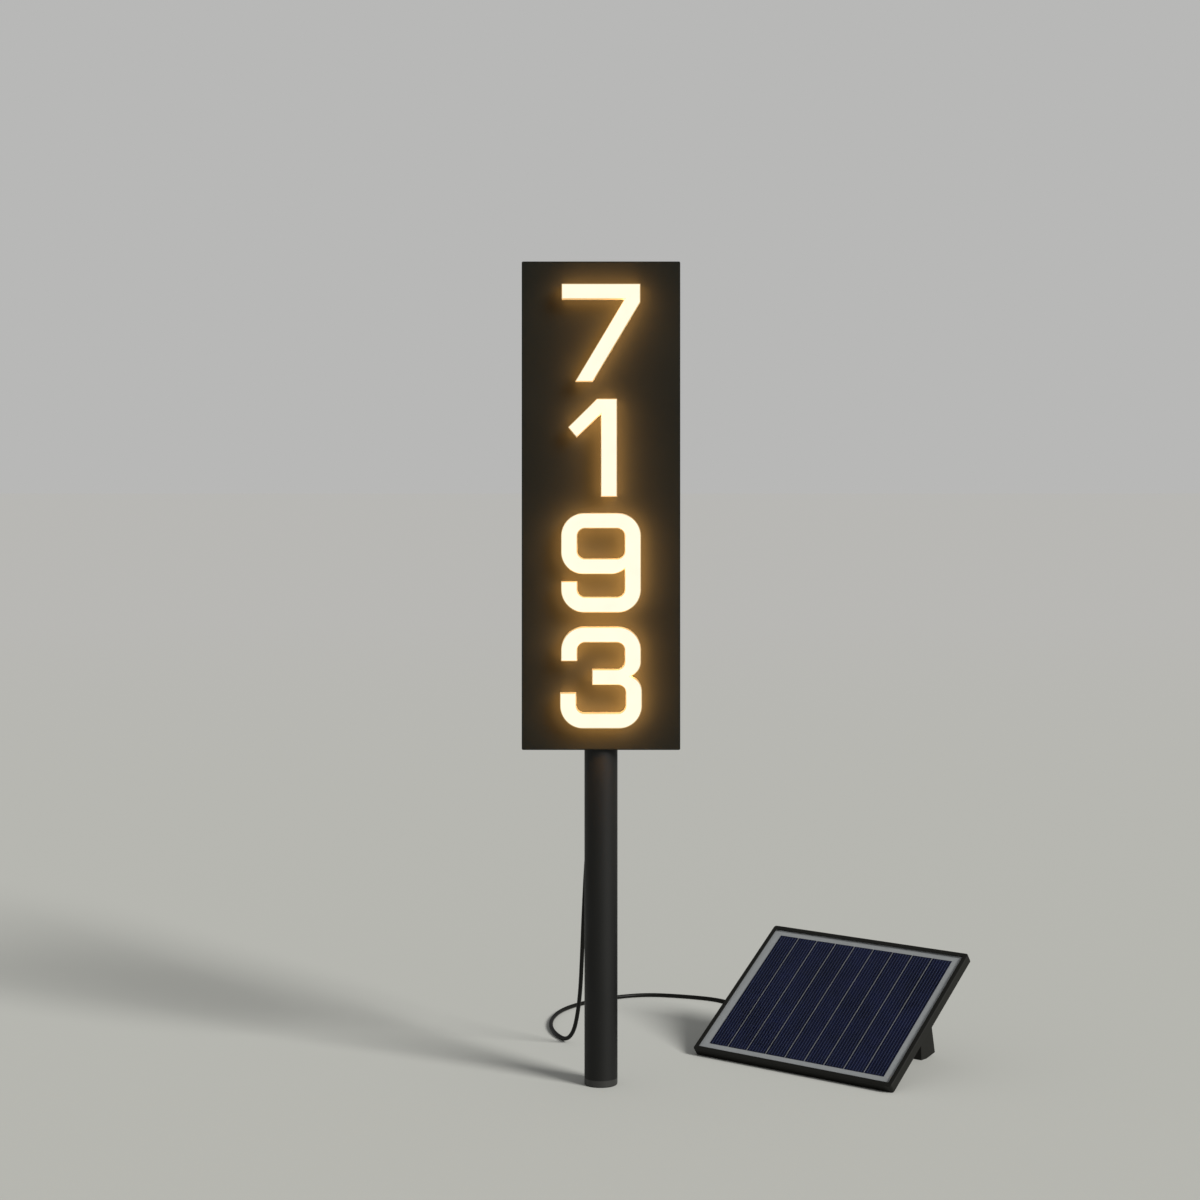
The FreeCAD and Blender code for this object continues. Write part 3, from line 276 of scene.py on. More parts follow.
# ---------------------------------------------------------------- finishes
NOISE_CORE: Pair = (0.35, 0.65)     # where most values of a noise lie
NOISE_REACH: Pair = (0.3, 0.7)      # where nearly all of them do


@dataclass(frozen=True)
class Finish:
    """What every finish has: a name, and a material that is made once."""

    name: str

    @cache
    def material(self) -> bpy.types.Material:
        """Make the material at the first call, and give it again at the next.

        Returns:
            The material.
        """
        bench = ShaderBench(self.name)
        self.fill(bench)
        return bench.material

    def fill(self, bench: ShaderBench) -> None:
        """Fill the material's tree; each kind of finish has its own way."""
        raise NotImplementedError


@dataclass(frozen=True)
class Coating(Finish):
    """A paint, moulding or rubber: grained, with a slight change of shade."""

    colour: Colour
    roughness: float = 0.5
    grain: float = 0.7 * MM       # size of the surface grain
    depth: float = 0.03 * MM      # and its depth
    shade: float = 0.10           # change of shade over the piece
    patch: float = 60 * MM        # size of those changes
    gloss: float = 0.5            # specular level
    uneven: float = 0.05          # change of roughness over the piece

    def fill(self, bench: ShaderBench) -> None:
        """A broad and a fine noise change the shade, and the fine one is the grain.

        Args:
            bench: the empty tree.
        """
        broad = bench.noise(bench.place, 1.0 / self.patch)
        fine = bench.noise(bench.place, 1.0 / self.grain, 2.0)
        both = bench.maths("MULTIPLY", bench.maths("ADD", broad, fine), 0.5)
        bench.principled(
            Base_Color=bench.blend(bench.span(both, 0.0, 1.0, *NOISE_CORE),
                                   shaded(self.colour, 1 - self.shade), shaded(self.colour, 1 + self.shade)),
            Roughness=bench.span(broad, self.roughness - self.uneven, self.roughness + self.uneven,
                                 *NOISE_REACH),
            Specular_IOR_Level=self.gloss,
            Normal=bench.relief(fine, self.depth))


class Grain(Enum):
    """Which way a metal was turned, or that it was cast: noise cycles for each metre on each axis."""

    ALONG_Z = (900.0, 900.0, 30.0)
    CAST = (700.0, 700.0, 700.0)


@dataclass(frozen=True)
class Metal(Finish):
    """A bare or plated metal with its machining marks."""

    colour: Colour
    roughness: float = 0.3
    grain: Grain = Grain.CAST
    depth: float = 0.01 * MM
    smoother: float = 0.08        # how far the roughness goes down between the marks
    rougher: float = 0.1          # and up on them
    stains: float = 45.0          # dull patches for each metre
    dullness: float = 0.82        # their share of the colour

    def fill(self, bench: ShaderBench) -> None:
        """Marks change gloss and relief, and stains dull the colour.

        Args:
            bench: the empty tree.
        """
        marks = bench.noise(bench.mapped(scale=self.grain.value), 1.0, 4.0)
        stain = bench.noise(bench.place, self.stains)
        bench.principled(
            Base_Color=bench.blend(bench.span(stain, 0.0, 1.0, *NOISE_CORE),
                                   shaded(self.colour, self.dullness), self.colour),
            Metallic=1.0,
            Roughness=bench.span(marks, self.roughness - self.smoother, self.roughness + self.rougher,
                                 *NOISE_REACH),
            Normal=bench.relief(marks, self.depth))


@dataclass(frozen=True)
class LitOpal(Finish):
    """Opal acrylic with the light on: an even front, and sides that light the sheet round them.

    The light that the sides throw stops short of the floor, as the photograph's exposure has it, and
    grows towards the lower and the right-hand ends of the figures. A camera sees the sides in their own
    even glow.
    """

    front: Colour = (1.0, 0.99, 0.74)
    side: Colour = (1.0, 0.48, 0.14)
    side_seen: Colour = (1.0, 0.66, 0.27)
    front_base: Colour = (0.34, 0.33, 0.29)
    side_base: Colour = (0.05, 0.035, 0.02)
    front_power: float = 0.66
    seen_power: float = 0.72
    side_power: float = 25.5         # at the foot of the side walls
    rim_share: float = 2.0           # of the side power, at their front edge
    face_plane: float = -20.0 * MM
    proud: float = 15.0 * MM
    start: float = 0.5 * MM          # depth over which the light sets in at the face
    facing: Pair = (0.75, 0.95)      # a normal's share towards the viewer, from side to front
    reach: Pair = (0.12, 0.30)       # where the thrown light starts to fade, and where it ends
    ends_up: Pair = (360 * MM, 820 * MM)        # the lowest and highest end of the figures
    shares_up: Pair = (1.2, 0.82)               # of the side power at those ends
    ends_across: Pair = (-40 * MM, 40 * MM)     # their left and right side
    shares_across: Pair = (0.94, 1.15)          # of the side power there
    clouds: float = 55.0             # soft patches for each metre
    cloudy: float = 0.03             # and how far they change the front's power
    roughness: Pair = (0.3, 0.4)
    gloss: float = 0.2

    def fill(self, bench: ShaderBench) -> None:
        """Fronts and sides give light, each in its own colour and power.

        Args:
            bench: the empty tree.
        """
        normal = bench.add("ShaderNodeSeparateXYZ", Vector=bench.normal)
        place = bench.add("ShaderNodeSeparateXYZ", Vector=bench.place)
        rays = bench.add("ShaderNodeLightPath").outputs
        is_front = bench.span(bench.maths("MULTIPLY", normal.outputs["Y"], -1.0), 0.0, 1.0, *self.facing)
        outside = bench.span(place.outputs["Y"], 1.0, 0.0, self.face_plane - self.start, self.face_plane)
        cloud = bench.noise(bench.place, self.clouds, 1.0)
        thrown = bench.maths(
            "MULTIPLY", bench.span(rays["Ray Length"], self.side_power, 0.0, *self.reach),
            bench.span(place.outputs["Y"], 1.0, self.rim_share,
                       self.face_plane, self.face_plane - self.proud))
        for axis, shares, ends in (("Z", self.shares_up, self.ends_up),
                                   ("X", self.shares_across, self.ends_across)):
            thrown = bench.maths("MULTIPLY", thrown, bench.span(place.outputs[axis], *shares, *ends))
        side_power = bench.choose(rays["Is Camera Ray"], thrown, self.seen_power)
        front_power = bench.span(cloud, self.front_power * (1 - self.cloudy),
                                 self.front_power * (1 + self.cloudy), *NOISE_REACH)
        side_colour = bench.blend(rays["Is Camera Ray"], self.side, self.side_seen)
        bench.principled(
            Base_Color=bench.blend(is_front, self.side_base, self.front_base),
            Roughness=bench.span(cloud, *self.roughness),
            Specular_IOR_Level=self.gloss,
            Emission_Color=bench.blend(is_front, side_colour, self.front),
            Emission_Strength=bench.maths("MULTIPLY", bench.choose(is_front, side_power, front_power),
                                          outside))


@dataclass(frozen=True)
class SolarGlass(Finish):
    """Low-glare tempered glass that lets the lamps through."""

    tint: Colour = (0.97, 0.98, 1.0)
    index: float = 1.15
    roughness: float = 0.02
    clear_for: tuple[str, ...] = ("Is Diffuse Ray", "Is Glossy Ray", "Is Shadow Ray")

    def fill(self, bench: ShaderBench) -> None:
        """Glass for the camera, and clear for the light on its way through.

        Args:
            bench: the empty tree.
        """
        shader = bench.principled(Base_Color=self.tint, Roughness=self.roughness, IOR=self.index,
                                  Transmission_Weight=1.0)
        clear = bench.add("ShaderNodeBsdfTransparent").outputs["BSDF"]
        rays = bench.add("ShaderNodeLightPath").outputs
        for ray in self.clear_for:
            mix = bench.add("ShaderNodeMixShader", Fac=rays[ray])
            bench.put(shader, mix.inputs[1])
            bench.put(clear, mix.inputs[2])
            shader = mix.outputs["Shader"]
        bench.put(shader, bench.surface)


@dataclass(frozen=True)
class Silicon(Finish):
    """Cells of silicon, whose crystals and broader patches differ slightly in their blue."""

    frame: Matrix                    # the panel's frame, frozen
    dark: Colour = linear(5, 8, 24)
    light: Colour = linear(12, 16, 42)
    crystals: float = 260.0          # for each metre
    crystal_share: float = 0.25      # of the step from dark to light
    patches: float = 26.0            # for each metre
    patch_share: float = 0.8
    roughness: Pair = (0.3, 0.45)
    gloss: float = 0.1

    def fill(self, bench: ShaderBench) -> None:
        """Crystals change shade and gloss, and patches the shade.

        Args:
            bench: the empty tree.
        """
        flat = bench.mapped(self.frame, (1.0, 1.0, 0.0))
        cells = bench.add("ShaderNodeTexVoronoi", Vector=flat, Scale=self.crystals)
        split = bench.add("ShaderNodeSeparateColor")
        bench.put(cells.outputs["Color"], split.inputs["Color"])
        patch = bench.span(bench.noise(flat, self.patches, 2.0), 0.0, self.patch_share, *NOISE_REACH)
        crystal = bench.span(split.outputs["Red"], 0.0, self.crystal_share)
        bench.principled(
            Base_Color=bench.blend(bench.maths("ADD", patch, crystal), self.dark, self.light),
            Roughness=bench.span(split.outputs["Green"], *self.roughness),
            Specular_IOR_Level=self.gloss)


@dataclass(frozen=True)
class Woven(Finish):
    """A woven strap."""

    colour: Colour
    thread: float = 1.2 * MM
    wave: float = 0.3                # the wave texture's scale for a thread of one metre
    pale: float = 1.8                # share of the colour on top of a thread: a painted highlight where the threads rise
    depth: float = 0.1 * MM
    roughness: float = 0.85

    def fill(self, bench: ShaderBench) -> None:
        """Two waves cross, and where both rise the colour is painted paler as a highlight.

        Args:
            bench: the empty tree.
        """
        waves = [bench.add("ShaderNodeTexWave", bands_direction=axis, Vector=bench.place,
                           Scale=self.wave / self.thread).outputs["Fac"] for axis in "XZ"]
        weave = bench.maths("MULTIPLY", *waves)
        bench.principled(Base_Color=bench.blend(weave, self.colour, shaded(self.colour, self.pale)),
                         Roughness=self.roughness, Normal=bench.relief(weave, self.depth))


@dataclass(frozen=True)
class Circuit(Finish):
    """A circuit board: solder mask with tracks under it."""

    mask: Colour
    track: Colour
    pitch: float = 3.2 * MM
    brick: float = 0.5               # the brick texture's scale for a pitch of one metre
    track_width: float = 0.03        # as that texture counts it
    depth: float = 0.03 * MM
    roughness: float = 0.35

    def fill(self, bench: ShaderBench) -> None:
        """The joints of a brick pattern are the tracks.

        Args:
            bench: the empty tree.
        """
        upright = bench.add("ShaderNodeMapping", Vector=bench.place, Rotation=(math.pi / 2, 0, 0))
        bricks = bench.add("ShaderNodeTexBrick", Vector=upright.outputs["Vector"],
                           Scale=self.brick / self.pitch, Mortar_Size=self.track_width).outputs["Fac"]
        bench.principled(Base_Color=bench.blend(bricks, self.mask, self.track),
                         Roughness=self.roughness, Normal=bench.relief(bricks, self.depth))


@dataclass(frozen=True)
class Banded(Finish):
    """A wrap with narrow bands across X, such as a cell's sleeve."""

    colour: Colour
    band: Colour
    pitch: float = 65 * MM
    wave: float = 0.31               # the wave texture's scale for a pitch of one metre
    band_edge: Pair = (0.9, 0.93)    # where on the wave a band begins
    creases: float = 400.0           # for each metre
    depth: float = 0.05 * MM
    roughness: float = 0.3

    def fill(self, bench: ShaderBench) -> None:
        """The tops of a wave are the bands, and a noise the creases.

        Args:
            bench: the empty tree.
        """
        wave = bench.add("ShaderNodeTexWave", bands_direction="X", Vector=bench.place,
                         Scale=self.wave / self.pitch).outputs["Fac"]
        creases = bench.noise(bench.place, self.creases)
        bench.principled(
            Base_Color=bench.blend(bench.span(wave, 0.0, 1.0, *self.band_edge), self.colour, self.band),
            Roughness=self.roughness, Normal=bench.relief(creases, self.depth))


# ---------------------------------------------------------------- geometry trees
SMOOTH_BELOW = 35.0                  # edges sharper than this, in degrees, stay sharp


class Size(Enum):
    """Kinds of named input that a geometry tree can have."""

    LENGTH = "NodeSocketFloat"
    COUNT = "NodeSocketInt"
    MATERIAL = "NodeSocketMaterial"


class GeometryBench(NodeBench):
    """A Geometry Nodes tree with named inputs, and the call that turns it into a plain mesh."""

    def __init__(self, name: str, **sizes: Size) -> None:
        """Start a tree.

        Args:
            name: the tree's name.
            sizes: the named inputs besides the geometry and the material.
        """
        super().__init__(bpy.data.node_groups.new(name, "GeometryNodeTree"))
        face = self.tree.interface
        face.new_socket(name="Geometry", in_out="OUTPUT", socket_type="NodeSocketGeometry")
        face.new_socket(name="Geometry", in_out="INPUT", socket_type="NodeSocketGeometry")
        self.identifiers = {}
        for label, kind in {**sizes, "Material": Size.MATERIAL}.items():
            socket = face.new_socket(name=label, in_out="INPUT", socket_type=kind.value)
            self.identifiers[label] = socket.identifier
        self.inputs = self.add("NodeGroupInput").outputs
        self.result = self.add("NodeGroupOutput").inputs["Geometry"]

    def vector(self, x: Any = 0.0, y: Any = 0.0, z: Any = 0.0) -> Socket:
        """A vector from three sizes or numbers."""
        return self.add("ShaderNodeCombineXYZ", X=x, Y=y, Z=z).outputs[0]

    def moved(self, shape: Socket, **place: Any) -> Socket:
        """A shape moved, turned or scaled."""
        return self.add("GeometryNodeTransform", Geometry=shape, **place).outputs[0]

    def cylinder(self, vertices: int, radius: Any, depth: Any, height: Any) -> Socket:
        """A closed cylinder with its middle at one height."""
        body = self.add("GeometryNodeMeshCylinder", Vertices=vertices, Radius=radius, Depth=depth)
        return self.moved(body.outputs["Mesh"], Translation=self.vector(z=height))

    def bar(self, x: Any, y: Any, z: Any) -> Socket:
        """A box of three sizes round the origin."""
        return self.add("GeometryNodeMeshCube", Size=self.vector(x, y, z)).outputs["Mesh"]

    def row(self, count: Any, step: Any) -> Socket:
        """Points in a row along X."""
        return self.add("GeometryNodeMeshLine", Count=count, Offset=self.vector(x=step)).outputs[0]

    def joined(self, operation: str, first: Socket, second: Socket) -> Socket:
        """Unite, cut or intersect two closed shapes.

        Args:
            operation: UNION, DIFFERENCE or INTERSECT.
            first: the shape that a cut leaves.
            second: the other one.

        Returns:
            The new shape.
        """
        node = self.add("GeometryNodeMeshBoolean", operation=operation, solver="EXACT")
        self.put(first, node.inputs["Mesh 1" if operation == "DIFFERENCE" else "Mesh 2"])
        self.put(second, node.inputs["Mesh 2"])
        return node.outputs["Mesh"]

    def repeated(self, points: Socket, shape: Socket, **turn: Any) -> Socket:
        """A shape on every point."""
        return self.add("GeometryNodeInstanceOnPoints", Points=points, Instance=shape, **turn).outputs[0]

    def end(self, shape: Socket) -> GeometryBench:
        """Close the tree with real geometry and its material.

        Args:
            shape: what the tree has made.

        Returns:
            The finished tree.
        """
        real = self.add("GeometryNodeRealizeInstances", Geometry=shape)
        painted = self.add("GeometryNodeSetMaterial", Geometry=real.outputs[0],
                           Material=self.inputs["Material"])
        self.put(painted.outputs[0], self.result)
        return self

    def piece(self, name: str, finish: Finish, base: bpy.types.Mesh | None = None,
              matrix: Matrix | None = None, crease: float = SMOOTH_BELOW,
              **values: float) -> bpy.types.Object:
        """Run the tree once and keep the result as a plain mesh.

        Args:
            name: the piece's name.
            finish: its finish.
            base: a mesh that the tree starts from.
            matrix: where the result goes in the part's frame.
            crease: edges sharper than this, in degrees, stay sharp.
            values: the named inputs' values.

        Returns:
            The finished piece, at the origin.
        """
        carrier = bpy.data.objects.new(name + "_carrier", base or bpy.data.meshes.new(name + "_base"))
        bpy.context.scene.collection.objects.link(carrier)
        modifier = carrier.modifiers.new("tree", "NODES")
        modifier.node_group = self.tree
        for label, value in {**values, "Material": finish.material()}.items():
            modifier[self.identifiers[label]] = value
        graph = bpy.context.evaluated_depsgraph_get()
        mesh = bpy.data.meshes.new_from_object(carrier.evaluated_get(graph))
        carrier.modifiers.remove(modifier)
        bpy.data.objects.remove(carrier)
        return finished(name, mesh, finish, matrix, crease)


def finished(name: str, mesh: bpy.types.Mesh, finish: Finish,
             matrix: Matrix | None = None, crease: float = SMOOTH_BELOW) -> bpy.types.Object:
    """Make a piece of a mesh, with smooth faces and sharp creases.

    Args:
        name: the piece's name.
        mesh: its mesh.
        finish: its finish.
        matrix: where it goes in the part's frame.
        crease: edges sharper than this, in degrees, stay sharp.

    Returns:
        The piece, at the origin.
    """
    if matrix is not None:
        mesh.transform(matrix)
    mesh.name = name
    mesh.materials.clear()
    mesh.materials.append(finish.material())
    mesh.polygons.foreach_set("material_index", [0] * len(mesh.polygons))
    mesh.polygons.foreach_set("use_smooth", [True] * len(mesh.polygons))
    mesh.set_sharp_from_angle(angle=math.radians(crease))
    piece = bpy.data.objects.new(name, mesh)
    bpy.context.scene.collection.objects.link(piece)
    log.info("%s: %d faces", name, len(mesh.polygons))
    return piece


def screw_tree() -> GeometryBench:
    """Button-head screws with a hexagonal socket, on points that hold their axes.

    Returns:
        The tree.
    """
    around_dome, up_dome, around_shank = 40, 24, 24     # steps round the head, up it and round the shank
    dome_share = 1.12                # of the head's radius: how far the dome would reach without its drum
    socket_middle = 0.95             # of the head's height
    rooted = 0.2                     # of the head's height: how far the shank goes into it
    bench = GeometryBench("button_screws", head_radius=Size.LENGTH, head_height=Size.LENGTH,
                          socket_flats=Size.LENGTH, shank_radius=Size.LENGTH, shank_length=Size.LENGTH,
                          seed=Size.COUNT)
    radius, height, flats, shank_radius, length, seed = (
        bench.inputs[name] for name in ("head_radius", "head_height", "socket_flats", "shank_radius",
                                        "shank_length", "seed"))
    ball = bench.add("GeometryNodeMeshUVSphere", Segments=around_dome, Rings=up_dome, Radius=1.0)
    wide = bench.maths("MULTIPLY", radius, dome_share)
    dome = bench.moved(ball.outputs["Mesh"], Scale=bench.vector(wide, wide, height))
    drum = bench.cylinder(around_dome, radius, height, bench.maths("MULTIPLY", height, 0.5))
    corner = bench.maths("MULTIPLY", flats, 1.0 / math.sqrt(3.0))
    socket = bench.cylinder(6, corner, height, bench.maths("MULTIPLY", height, socket_middle))
    head = bench.joined("DIFFERENCE", bench.joined("INTERSECT", dome, drum), socket)
    overlap = bench.maths("MULTIPLY", height, rooted)
    shank = bench.cylinder(around_shank, shank_radius, bench.maths("ADD", length, overlap),
                           bench.maths("MULTIPLY", bench.maths("SUBTRACT", overlap, length), 0.5))
    turn = bench.add("FunctionNodeRandomValue", data_type="FLOAT", Seed=seed)
    bench.put(math.tau, turn.inputs[3])
    spin = bench.add("FunctionNodeEulerToRotation")
    bench.put(bench.vector(z=turn.outputs[1]), spin.inputs[0])
    aim = bench.add("GeometryNodeInputNamedAttribute", data_type="FLOAT_VECTOR", Name="aim")
    align = bench.add("FunctionNodeAlignRotationToVector", axis="Z", Rotation=spin.outputs[0],
                      Vector=aim.outputs["Attribute"])
    return bench.end(bench.repeated(bench.inputs["Geometry"], bench.joined("UNION", head, shank),
                                    Rotation=align.outputs[0]))


def rib_ring_tree() -> GeometryBench:
    """Ribs that stand round a circle, along Z.

    Returns:
        The tree.
    """
    bench = GeometryBench("ring_of_ribs", ribs=Size.COUNT, radius=Size.LENGTH, rib_width=Size.LENGTH,
                          rib_height=Size.LENGTH, rib_length=Size.LENGTH)
    size = bench.inputs
    circle = bench.add("GeometryNodeMeshCircle", Vertices=size["ribs"], Radius=size["radius"])
    rib = bench.bar(size["rib_height"], size["rib_width"], size["rib_length"])
    place = bench.add("GeometryNodeInputPosition").outputs[0]
    align = bench.add("FunctionNodeAlignRotationToVector", axis="X", Vector=place)
    return bench.end(bench.repeated(circle.outputs[0], rib, Rotation=align.outputs[0]))


def line_tree() -> GeometryBench:
    """Groups of fine bars side by side, all along Y: conductors on strips of cell.

    Returns:
        The tree.
    """
    bench = GeometryBench("rows_of_bars", groups=Size.COUNT, group_pitch=Size.LENGTH, bars=Size.COUNT,
                          bar_pitch=Size.LENGTH, bar_width=Size.LENGTH, bar_length=Size.LENGTH,
                          bar_height=Size.LENGTH)
    size = bench.inputs
    bar = bench.bar(size["bar_width"], size["bar_length"], size["bar_height"])
    group = bench.repeated(bench.row(size["bars"], size["bar_pitch"]), bar)
    return bench.end(bench.repeated(bench.row(size["groups"], size["group_pitch"]), group))


def boot_tree() -> GeometryBench:
    """A tapered, ringed boot along the first stretch of a line.

    Returns:
        The tree.
    """
    around, along_it = 32, 120       # points round the boot and along it
    collar = 0.12                    # share of the boot's length before its first groove
    groove_from = 0.35               # height on the wave from which a groove is cut
    bench = GeometryBench("cable_boot", length=Size.LENGTH, root_radius=Size.LENGTH, tip_radius=Size.LENGTH,
                          rings=Size.COUNT, ring_depth=Size.LENGTH)
    size = bench.inputs
    line = bench.add("GeometryNodeMeshToCurve", Mesh=size["Geometry"])
    trimmed = bench.add("GeometryNodeTrimCurve", mode="LENGTH", Curve=line.outputs[0])
    bench.put(0.0, trimmed.inputs[4])
    bench.put(size["length"], trimmed.inputs[5])
    fine = bench.add("GeometryNodeResampleCurve", Curve=trimmed.outputs[0], Count=along_it)
    along = bench.add("GeometryNodeSplineParameter").outputs["Factor"]
    waves = bench.maths("MULTIPLY", bench.maths("MULTIPLY", along, size["rings"]), math.tau)
    groove = bench.maths("GREATER_THAN", bench.maths("SINE", waves), groove_from)
    cut = bench.maths("MULTIPLY", bench.maths("GREATER_THAN", along, collar), groove)
    slope = bench.maths("SUBTRACT", size["tip_radius"], size["root_radius"])
    taper = bench.maths("ADD", size["root_radius"], bench.maths("MULTIPLY", slope, along))
    radius = bench.maths("SUBTRACT", taper, bench.maths("MULTIPLY", cut, size["ring_depth"]))
    ring = bench.add("GeometryNodeCurvePrimitiveCircle", Resolution=around, Radius=1.0)
    solid = bench.add("GeometryNodeCurveToMesh", Curve=fine.outputs[0], Profile_Curve=ring.outputs["Curve"],
                      Scale=radius, Fill_Caps=True)
    return bench.end(solid.outputs[0])


# ---------------------------------------------------------------- helpers on CAD nodes
def dress(frame: dict[str, Any], finish: Finish, *names: str) -> None:
    """Give CAD nodes a finish.

    Args:
        finish: the finish.
        names: the nodes.
    """
    for name in names:
        slots = frame["nodes"][name].data.materials
        slots.clear()
        slots.append(finish.material())
        log.info("%s: %s", name, finish.name)


def box_round(points: Sequence[Vector]) -> tuple[Vector, Vector]:
    """The box round some points.

    Args:
        points: the points.

    Returns:
        Its lowest and highest corner.
    """
    return tuple(Vector([end(point[axis] for point in points) for axis in range(3)]) for end in (min, max))


def solids_of(node: bpy.types.Object) -> list[list[Vector]]:
    """Points of each loose solid of a CAD node.

    Args:
        node: the node's object.

    Returns:
        One list of points for each solid, in the order of the solids' middles.
    """
    def middle(points: list[Vector]) -> tuple[float, ...]:
        """A solid's middle, in hundredths of a millimetre."""
        low, high = box_round(points)
        return tuple(round(value, 5) for value in (low + high) / 2)

    work = bmesh.new()
    work.from_mesh(node.data)
    bmesh.ops.remove_doubles(work, verts=work.verts, dist=0.001 * MM)
    left = set(work.verts)
    groups = []
    while left:
        stack = [left.pop()]
        points = []
        while stack:
            vertex = stack.pop()
            points.append(vertex.co.copy())
            for edge in vertex.link_edges:
                other = edge.other_vert(vertex)
                if other in left:
                    left.remove(other)
                    stack.append(other)
        groups.append(points)
    work.free()
    return sorted(groups, key=middle)


def ride_root(piece: bpy.types.Object, slot: str, *replaced: str) -> None:
    """Put a piece on the root body.

    Args:
        piece: the piece.
        slot: its material slot; not used.
        replaced: the nodes that it stands for.
    """
    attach(piece, "root")
    if replaced:
        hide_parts(*replaced)


# ---------------------------------------------------------------- sub-assemblies
@dataclass(frozen=True)
class Finishes:
    """Every finish of the object, except the cells' own, which needs the panel's frame."""

    powder: Coating = Coating("powder_coat_black", (0.0099, 0.0106, 0.0084), 0.6, 0.8 * MM, 0.02 * MM,
                              gloss=0.06)
    # the rear cover's dark-grey paint, made lighter than the face's: partly its own tone, partly painted
    # light that lifts the shaded back of the box
    rear: Coating = Coating("powder_coat_rear_lightened_for_shade", (0.021, 0.021, 0.018), 0.5, 0.8 * MM, 0.03 * MM, gloss=0.3)
    post: Coating = Coating("powder_coat_post", (0.0026, 0.0027, 0.002), 0.58, 0.8 * MM, 0.01 * MM,
                            gloss=0.34)
    # black nylon: partly its own tone, partly painted light that lifts the glands in the shade on the back
    nylon: Coating = Coating("black_nylon_lightened_for_shade", (0.022, 0.022, 0.02), 0.45, 0.5 * MM, 0.02 * MM, gloss=0.4)
    moulding: Coating = Coating("black_moulding", (0.008, 0.008, 0.0065), 0.5, 0.6 * MM, 0.03 * MM, gloss=0.2)
    # black plastic of the fittings, lighter than the panel's moulding: partly its own tone, partly painted
    # light that lifts the shaded fittings on the back
    fitting: Coating = Coating("black_fitting_lightened_for_shade", (0.02, 0.02, 0.018), 0.45, 0.5 * MM, 0.03 * MM, gloss=0.4)
    rubber: Coating = Coating("black_rubber", (0.018, 0.018, 0.016), 0.6, 0.4 * MM, 0.02 * MM, gloss=0.3)
    jacket: Coating = Coating("cable_jacket", (0.005, 0.005, 0.004), 0.45, 0.5 * MM, 0.01 * MM, gloss=0.15)
    red_lead: Coating = Coating("red_lead", linear(150, 24, 18), 0.45)
    grey_cap: Coating = Coating("grey_button", linear(140, 140, 138), 0.35, 0.4 * MM, 0.01 * MM)
    white_sheet: Coating = Coating("opal_sheet", linear(240, 240, 232), 0.35, 1.0 * MM, 0.005 * MM, 0.02)
    white_paint: Coating = Coating("white_tray", linear(232, 232, 228), 0.45, 0.9 * MM, 0.02 * MM, 0.03)
    border: Coating = Coating("pale_backsheet", linear(140, 143, 144), 0.5, 0.5 * MM, 0.008 * MM, 0.03)
    natural_nylon: Coating = Coating("natural_nylon", linear(225, 224, 214), 0.5, 0.6 * MM)
    phosphor: Coating = Coating("led_phosphor", linear(238, 205, 92), 0.25, 0.3 * MM, 0.01 * MM, 0.05)
    components: Coating = Coating("moulded_parts", linear(34, 34, 36), 0.4, 0.3 * MM)
    terminals: Coating = Coating("terminal_grey", linear(188, 188, 184), 0.4, 0.5 * MM)
    tinned: Coating = Coating("printed_conductor", linear(58, 66, 94), 0.4, 0.3 * MM, 0.002 * MM, gloss=0.1)
    stainless: Metal = Metal("stainless_screws", (0.62, 0.61, 0.59), 0.28)
    zinc: Metal = Metal("zinc_plate", (0.68, 0.68, 0.66), 0.34)
    black_steel: Metal = Metal("blackened_steel", (0.06, 0.06, 0.06), 0.4)
    cast: Metal = Metal("cast_aluminium", (0.55, 0.55, 0.56), 0.45, Grain.CAST, 0.05 * MM)
    brass: Metal = Metal("turned_brass", (0.78, 0.58, 0.27), 0.28, Grain.ALONG_Z)
    opal: LitOpal = LitOpal("lit_opal")
    glass: SolarGlass = SolarGlass("solar_glass")
    strap: Woven = Woven("woven_strap", (0.02, 0.02, 0.02))
    green_board: Circuit = Circuit("green_board", linear(18, 84, 44), linear(30, 118, 62))
    white_board: Circuit = Circuit("white_board", linear(226, 226, 220), linear(205, 205, 198))
    sleeve: Banded = Banded("cell_sleeve", linear(30, 92, 170), linear(215, 218, 220))


